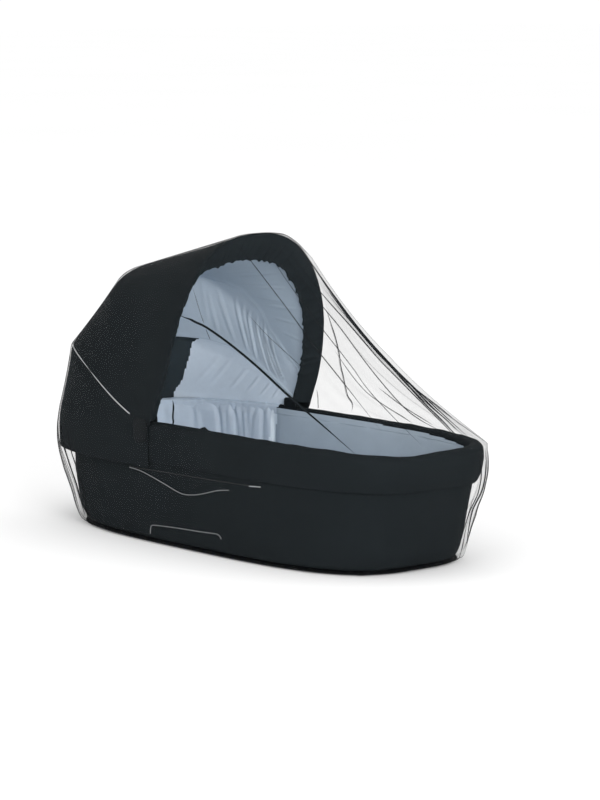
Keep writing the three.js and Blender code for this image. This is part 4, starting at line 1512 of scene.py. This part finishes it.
# The stage, in metres: the floor, what the camera looks at, what the lights point at and where they stand.
FLOOR_HALF, FLOOR_DROP, FLOOR_COLOR = 40, 0.001, (0.97, 0.97, 0.97)
VIEW_MIDDLE = Vector((0.06655, 0.0, 0.28264))
LIT_MIDDLE = Vector((0.0, 0.0, 0.3))
LIGHT_SIZE = 2.0
LIGHT_PLACES = {"key_light": (4.4, -1.9, 1.6), "fill_light": (1.2, -4.2, 1.6)}


class CARRYCOT_OT_finishes(Operator):
    """Builds the shared effects and every finish"""

    bl_idname = "carrycot.finishes"
    bl_label = "Finishes"

    def execute(self, context):
        net, cloth = context.scene.carrycot_net, context.scene.carrycot_cloth
        weave_group()
        wear_group()
        mesh_group()
        net_material("Black net", net.color, net.sheer, net.pitch)
        net_material("Pleated net", net.color, net.pleat_sheer, net.pitch)
        woven_material("Net seam", cloth.black, 0.9, 0.0012, 0.08, gloss=0.04)
        woven_material("Black outer cloth", cloth.black, 0.9, 0.0014, 0.12, 0.75, 1.2, gloss=0.04)
        flange, window = ([times * part for part in cloth.black] for times in (1.5, 3.4))
        woven_material("Flange cloth", flange, 0.9, 0.0014, 0.12, 0.75, 1.2, gloss=0.04)
        woven_material("Window cloth", window, 0.9, 0.0014, 0.12, 0.8, 1.2, gloss=0.04)
        woven_material("Upper lining", cloth.upper_lining, dark=0.82)
        woven_material("Middle lining", cloth.middle_lining)
        woven_material("Pale lining", cloth.lining)
        woven_material("Pale stripe", [1.05 * part for part in cloth.lining])
        woven_material("Cot lining", cloth.cot_lining)
        woven_material("Foot lining", cloth.foot_lining, dark=0.72, light=1.15)
        woven_material("Silver piping", cloth.piping, 0.5, 0.0012, 0.08, 0.8, 1.2)
        dull, dark = ([times * part for part in cloth.piping] for times in (0.42, 0.07))
        woven_material("Dull piping", dull, 0.6, 0.0012, 0.08, 0.7, 1.3)
        woven_material("Dark binding", dark, 0.8, 0.0012, 0.08, 0.8, 1.2, 0.1)
        net_material("Gathered net", net.color, 0.5, net.pitch)
        worn_material("Drawn tube", (0.55, 0.56, 0.57), 1.0, 0.35, 0.5)
        worn_material("Black moulding", (0.0085, 0.0105, 0.0118), 0.0, 0.6, 0.06)
        return {"FINISHED"}


class CARRYCOT_OT_net(Operator):
    """Lays the net over the hood and the cot, with its pleats and its hem"""

    bl_idname = "carrycot.net"
    bl_label = "Net"

    def execute(self, context):
        settings = context.scene.carrycot_net
        net, pleats = net_object(settings.columns)
        dress(net, "Black net", "Gathered net")
        dress(pleats, "Pleated net", "Net seam")
        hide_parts("net")
        for piece in (net, pleats):
            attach(piece, "root")
        return {"FINISHED"}


class CARRYCOT_OT_hood(Operator):
    """Stretches the hood's cover and its gathered flange over the bows"""

    bl_idname = "carrycot.hood"
    bl_label = "Hood"

    def execute(self, context):
        columns = context.scene.carrycot_cloth.columns
        cover = hood_cover_object(columns)
        flange = hood_flange_object(columns * 2)
        for piece, finish, node, flat, area in (
            (cover, "Black outer cloth", "hood_cover", (1.1, 0.72), 0.48),
            (flange, "Flange cloth", "hood_flange", (1.03, 0.05), 0.047),
        ):
            dress(piece, finish)
            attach(piece, "root")
            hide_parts(node)
        return {"FINISHED"}


class CARRYCOT_OT_hood_lining(Operator):
    """Hangs the hood's lining inside its bows"""

    bl_idname = "carrycot.hood_lining"
    bl_label = "Hood Lining"

    def execute(self, context):
        lining = hood_lining_object(context.scene.carrycot_cloth.columns + 80)
        dress(lining, "Upper lining", "Middle lining", "Pale lining", "Window cloth")
        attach(lining, "root")
        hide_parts("hood_lining")
        return {"FINISHED"}


class CARRYCOT_OT_cot(Operator):
    """Covers the cot's outside and its rim"""

    bl_idname = "carrycot.cot"
    bl_label = "Cot Cloth"

    def execute(self, context):
        columns = context.scene.carrycot_cloth.columns
        outside = cot_cloth_object(columns)
        band = rim_band_object(columns * 3 // 2)
        for piece, node, flat in ((outside, "cot_shell", (2.35, 0.35)), (band, "rim_band", (2.4, 0.11))):
            dress(piece, "Black outer cloth", "Cot lining", "Foot lining")
            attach(piece, "root")
            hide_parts(node)
        return {"FINISHED"}


class CARRYCOT_OT_cot_lining(Operator):
    """Lines the cot's inside"""

    bl_idname = "carrycot.cot_lining"
    bl_label = "Cot Lining"

    def execute(self, context):
        lining = cot_lining_object(context.scene.carrycot_cloth.columns * 2)
        dress(lining, "Cot lining", "Foot lining", "Pale stripe")
        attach(lining, "root")
        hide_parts("cot_lining")
        return {"FINISHED"}


class CARRYCOT_OT_trims(Operator):
    """Sews the silver piping and trims on"""

    bl_idname = "carrycot.trims"
    bl_label = "Piping and Trims"

    def execute(self, context):
        for piece, finish in trim_objects():
            dress(piece, finish)
            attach(piece, "root")
        return {"FINISHED"}


class CARRYCOT_OT_fittings(Operator):
    """Finishes the bows and the pivot brackets"""

    bl_idname = "carrycot.fittings"
    bl_label = "Bows and Brackets"

    def execute(self, context):
        path = bow_rail(FRONT_TUBE)(np.linspace(0.02, 0.98, 120))
        front = tube("bow_front_tube", path, TUBE_RADIUS, 16)
        dress(front, "Drawn tube")
        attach(front, "root")
        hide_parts("bow_front")
        for name in ("bow_middle", "bow_back"):
            dress(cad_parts[name], "Drawn tube")
        for name, side in (("near", -1), ("far", 1)):
            pieces = []
            for kind, facts in (("hinge_plate_", HINGE_PLATE), ("hinge_stop_", HINGE_STOP)):
                x, y, z = facts["middle"]
                pieces.append(pad(kind + name, (x, side * y, z), facts["half"], facts["thick"] * side))
            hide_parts("bracket_" + name)
            for piece in pieces:
                dress(piece, "Black moulding")
                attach(piece, "root")
        return {"FINISHED"}


class CARRYCOT_OT_stage(Operator):
    """Sets the floor, the soft studio light and the camera"""

    bl_idname = "carrycot.stage"
    bl_label = "Stage"

    def execute(self, context):
        scene, settings = context.scene, context.scene.carrycot_stage
        corners = ((-1, -1), (1, -1), (1, 1), (-1, 1))
        points = [(x * FLOOR_HALF, y * FLOOR_HALF, -FLOOR_DROP) for x, y in corners]
        floor = mesh_object("floor", points, [[0, 1, 2, 3]], [(0, 0), (1, 0), (1, 1), (0, 1)])
        material, tree, shader = new_material("Pale floor")
        drift = placed(material, "Tone drift", {"Scale": 0.6, "Detail": 2.0})
        pale = toned(tree, FLOOR_COLOR, drift.outputs["Broad"], 0.99, 1.01)
        tree.links.new(pale, shader.inputs["Base Color"])
        shader.inputs["Roughness"].default_value = 1.0
        shader.inputs["Specular IOR Level"].default_value = 0.0
        dress(floor, "Pale floor")

        world = bpy.data.worlds.new("Studio")
        world.use_nodes = True
        background = world.node_tree.nodes["Background"]
        background.inputs["Color"].default_value = (1.0, 1.0, 1.0, 1.0)
        background.inputs["Strength"].default_value = settings.ambient
        scene.world = world

        for (name, place), power in zip(LIGHT_PLACES.items(), (settings.key, settings.fill)):
            light = bpy.data.lights.new(name, "AREA")
            light.size = LIGHT_SIZE
            light.energy = power
            lamp = bpy.data.objects.new(name, light)
            lamp.location = place
            lamp.rotation_euler = (LIT_MIDDLE - Vector(place)).to_track_quat("-Z", "Y").to_euler()
            scene.collection.objects.link(lamp)

        around, above = settings.azimuth, settings.elevation
        level = math.cos(above)
        back = Vector((math.sin(around) * level, -math.cos(around) * level, math.sin(above)))
        camera = bpy.data.cameras.new("camera")
        camera.lens = settings.lens
        camera.sensor_width = 36.0
        camera.clip_end = 200.0
        viewer = bpy.data.objects.new("camera", camera)
        viewer.location = VIEW_MIDDLE + back * settings.distance
        viewer.rotation_euler = back.to_track_quat("Z", "Y").to_euler()
        scene.collection.objects.link(viewer)
        scene.camera = viewer
        scene.view_settings.view_transform = "Standard"
        scene.cycles.transparent_max_bounces = 32
        return {"FINISHED"}


class CARRYCOT_PT_panel(Panel):
    """Lists the pieces in the 3D view's sidebar"""

    bl_idname = "CARRYCOT_PT_panel"
    bl_label = "Carrycot Net"
    bl_space_type = "VIEW_3D"
    bl_region_type = "UI"
    bl_category = "Carrycot Net"

    def draw(self, context):
        layout = self.layout
        for operator in OPERATORS:
            layout.operator(operator.bl_idname)
        for group in SETTINGS:
            settings = getattr(context.scene, group)
            box = layout.box()
            for name in settings.__annotations__:
                box.prop(settings, name)


SETTINGS = {
    "carrycot_net": CarrycotNetSettings,
    "carrycot_cloth": CarrycotClothSettings,
    "carrycot_stage": CarrycotStageSettings,
}
OPERATORS = (
    CARRYCOT_OT_finishes,
    CARRYCOT_OT_fittings,
    CARRYCOT_OT_cot_lining,
    CARRYCOT_OT_cot,
    CARRYCOT_OT_hood_lining,
    CARRYCOT_OT_hood,
    CARRYCOT_OT_trims,
    CARRYCOT_OT_net,
    CARRYCOT_OT_stage,
)


def register():
    """Registers every class and hangs the settings on the scene."""
    for kind in (*SETTINGS.values(), *OPERATORS, CARRYCOT_PT_panel):
        bpy.utils.register_class(kind)
    for name, kind in SETTINGS.items():
        setattr(bpy.types.Scene, name, PointerProperty(type=kind))


def unregister():
    """Takes the settings and the classes away again."""
    for name in SETTINGS:
        delattr(bpy.types.Scene, name)
    for kind in reversed((*SETTINGS.values(), *OPERATORS, CARRYCOT_PT_panel)):
        bpy.utils.unregister_class(kind)


def main():
    """Builds every piece in order."""
    register()
    for operator in OPERATORS:
        group, name = operator.bl_idname.split(".")
        getattr(getattr(bpy.ops, group), name)()


if __name__ == "__main__":
    main()
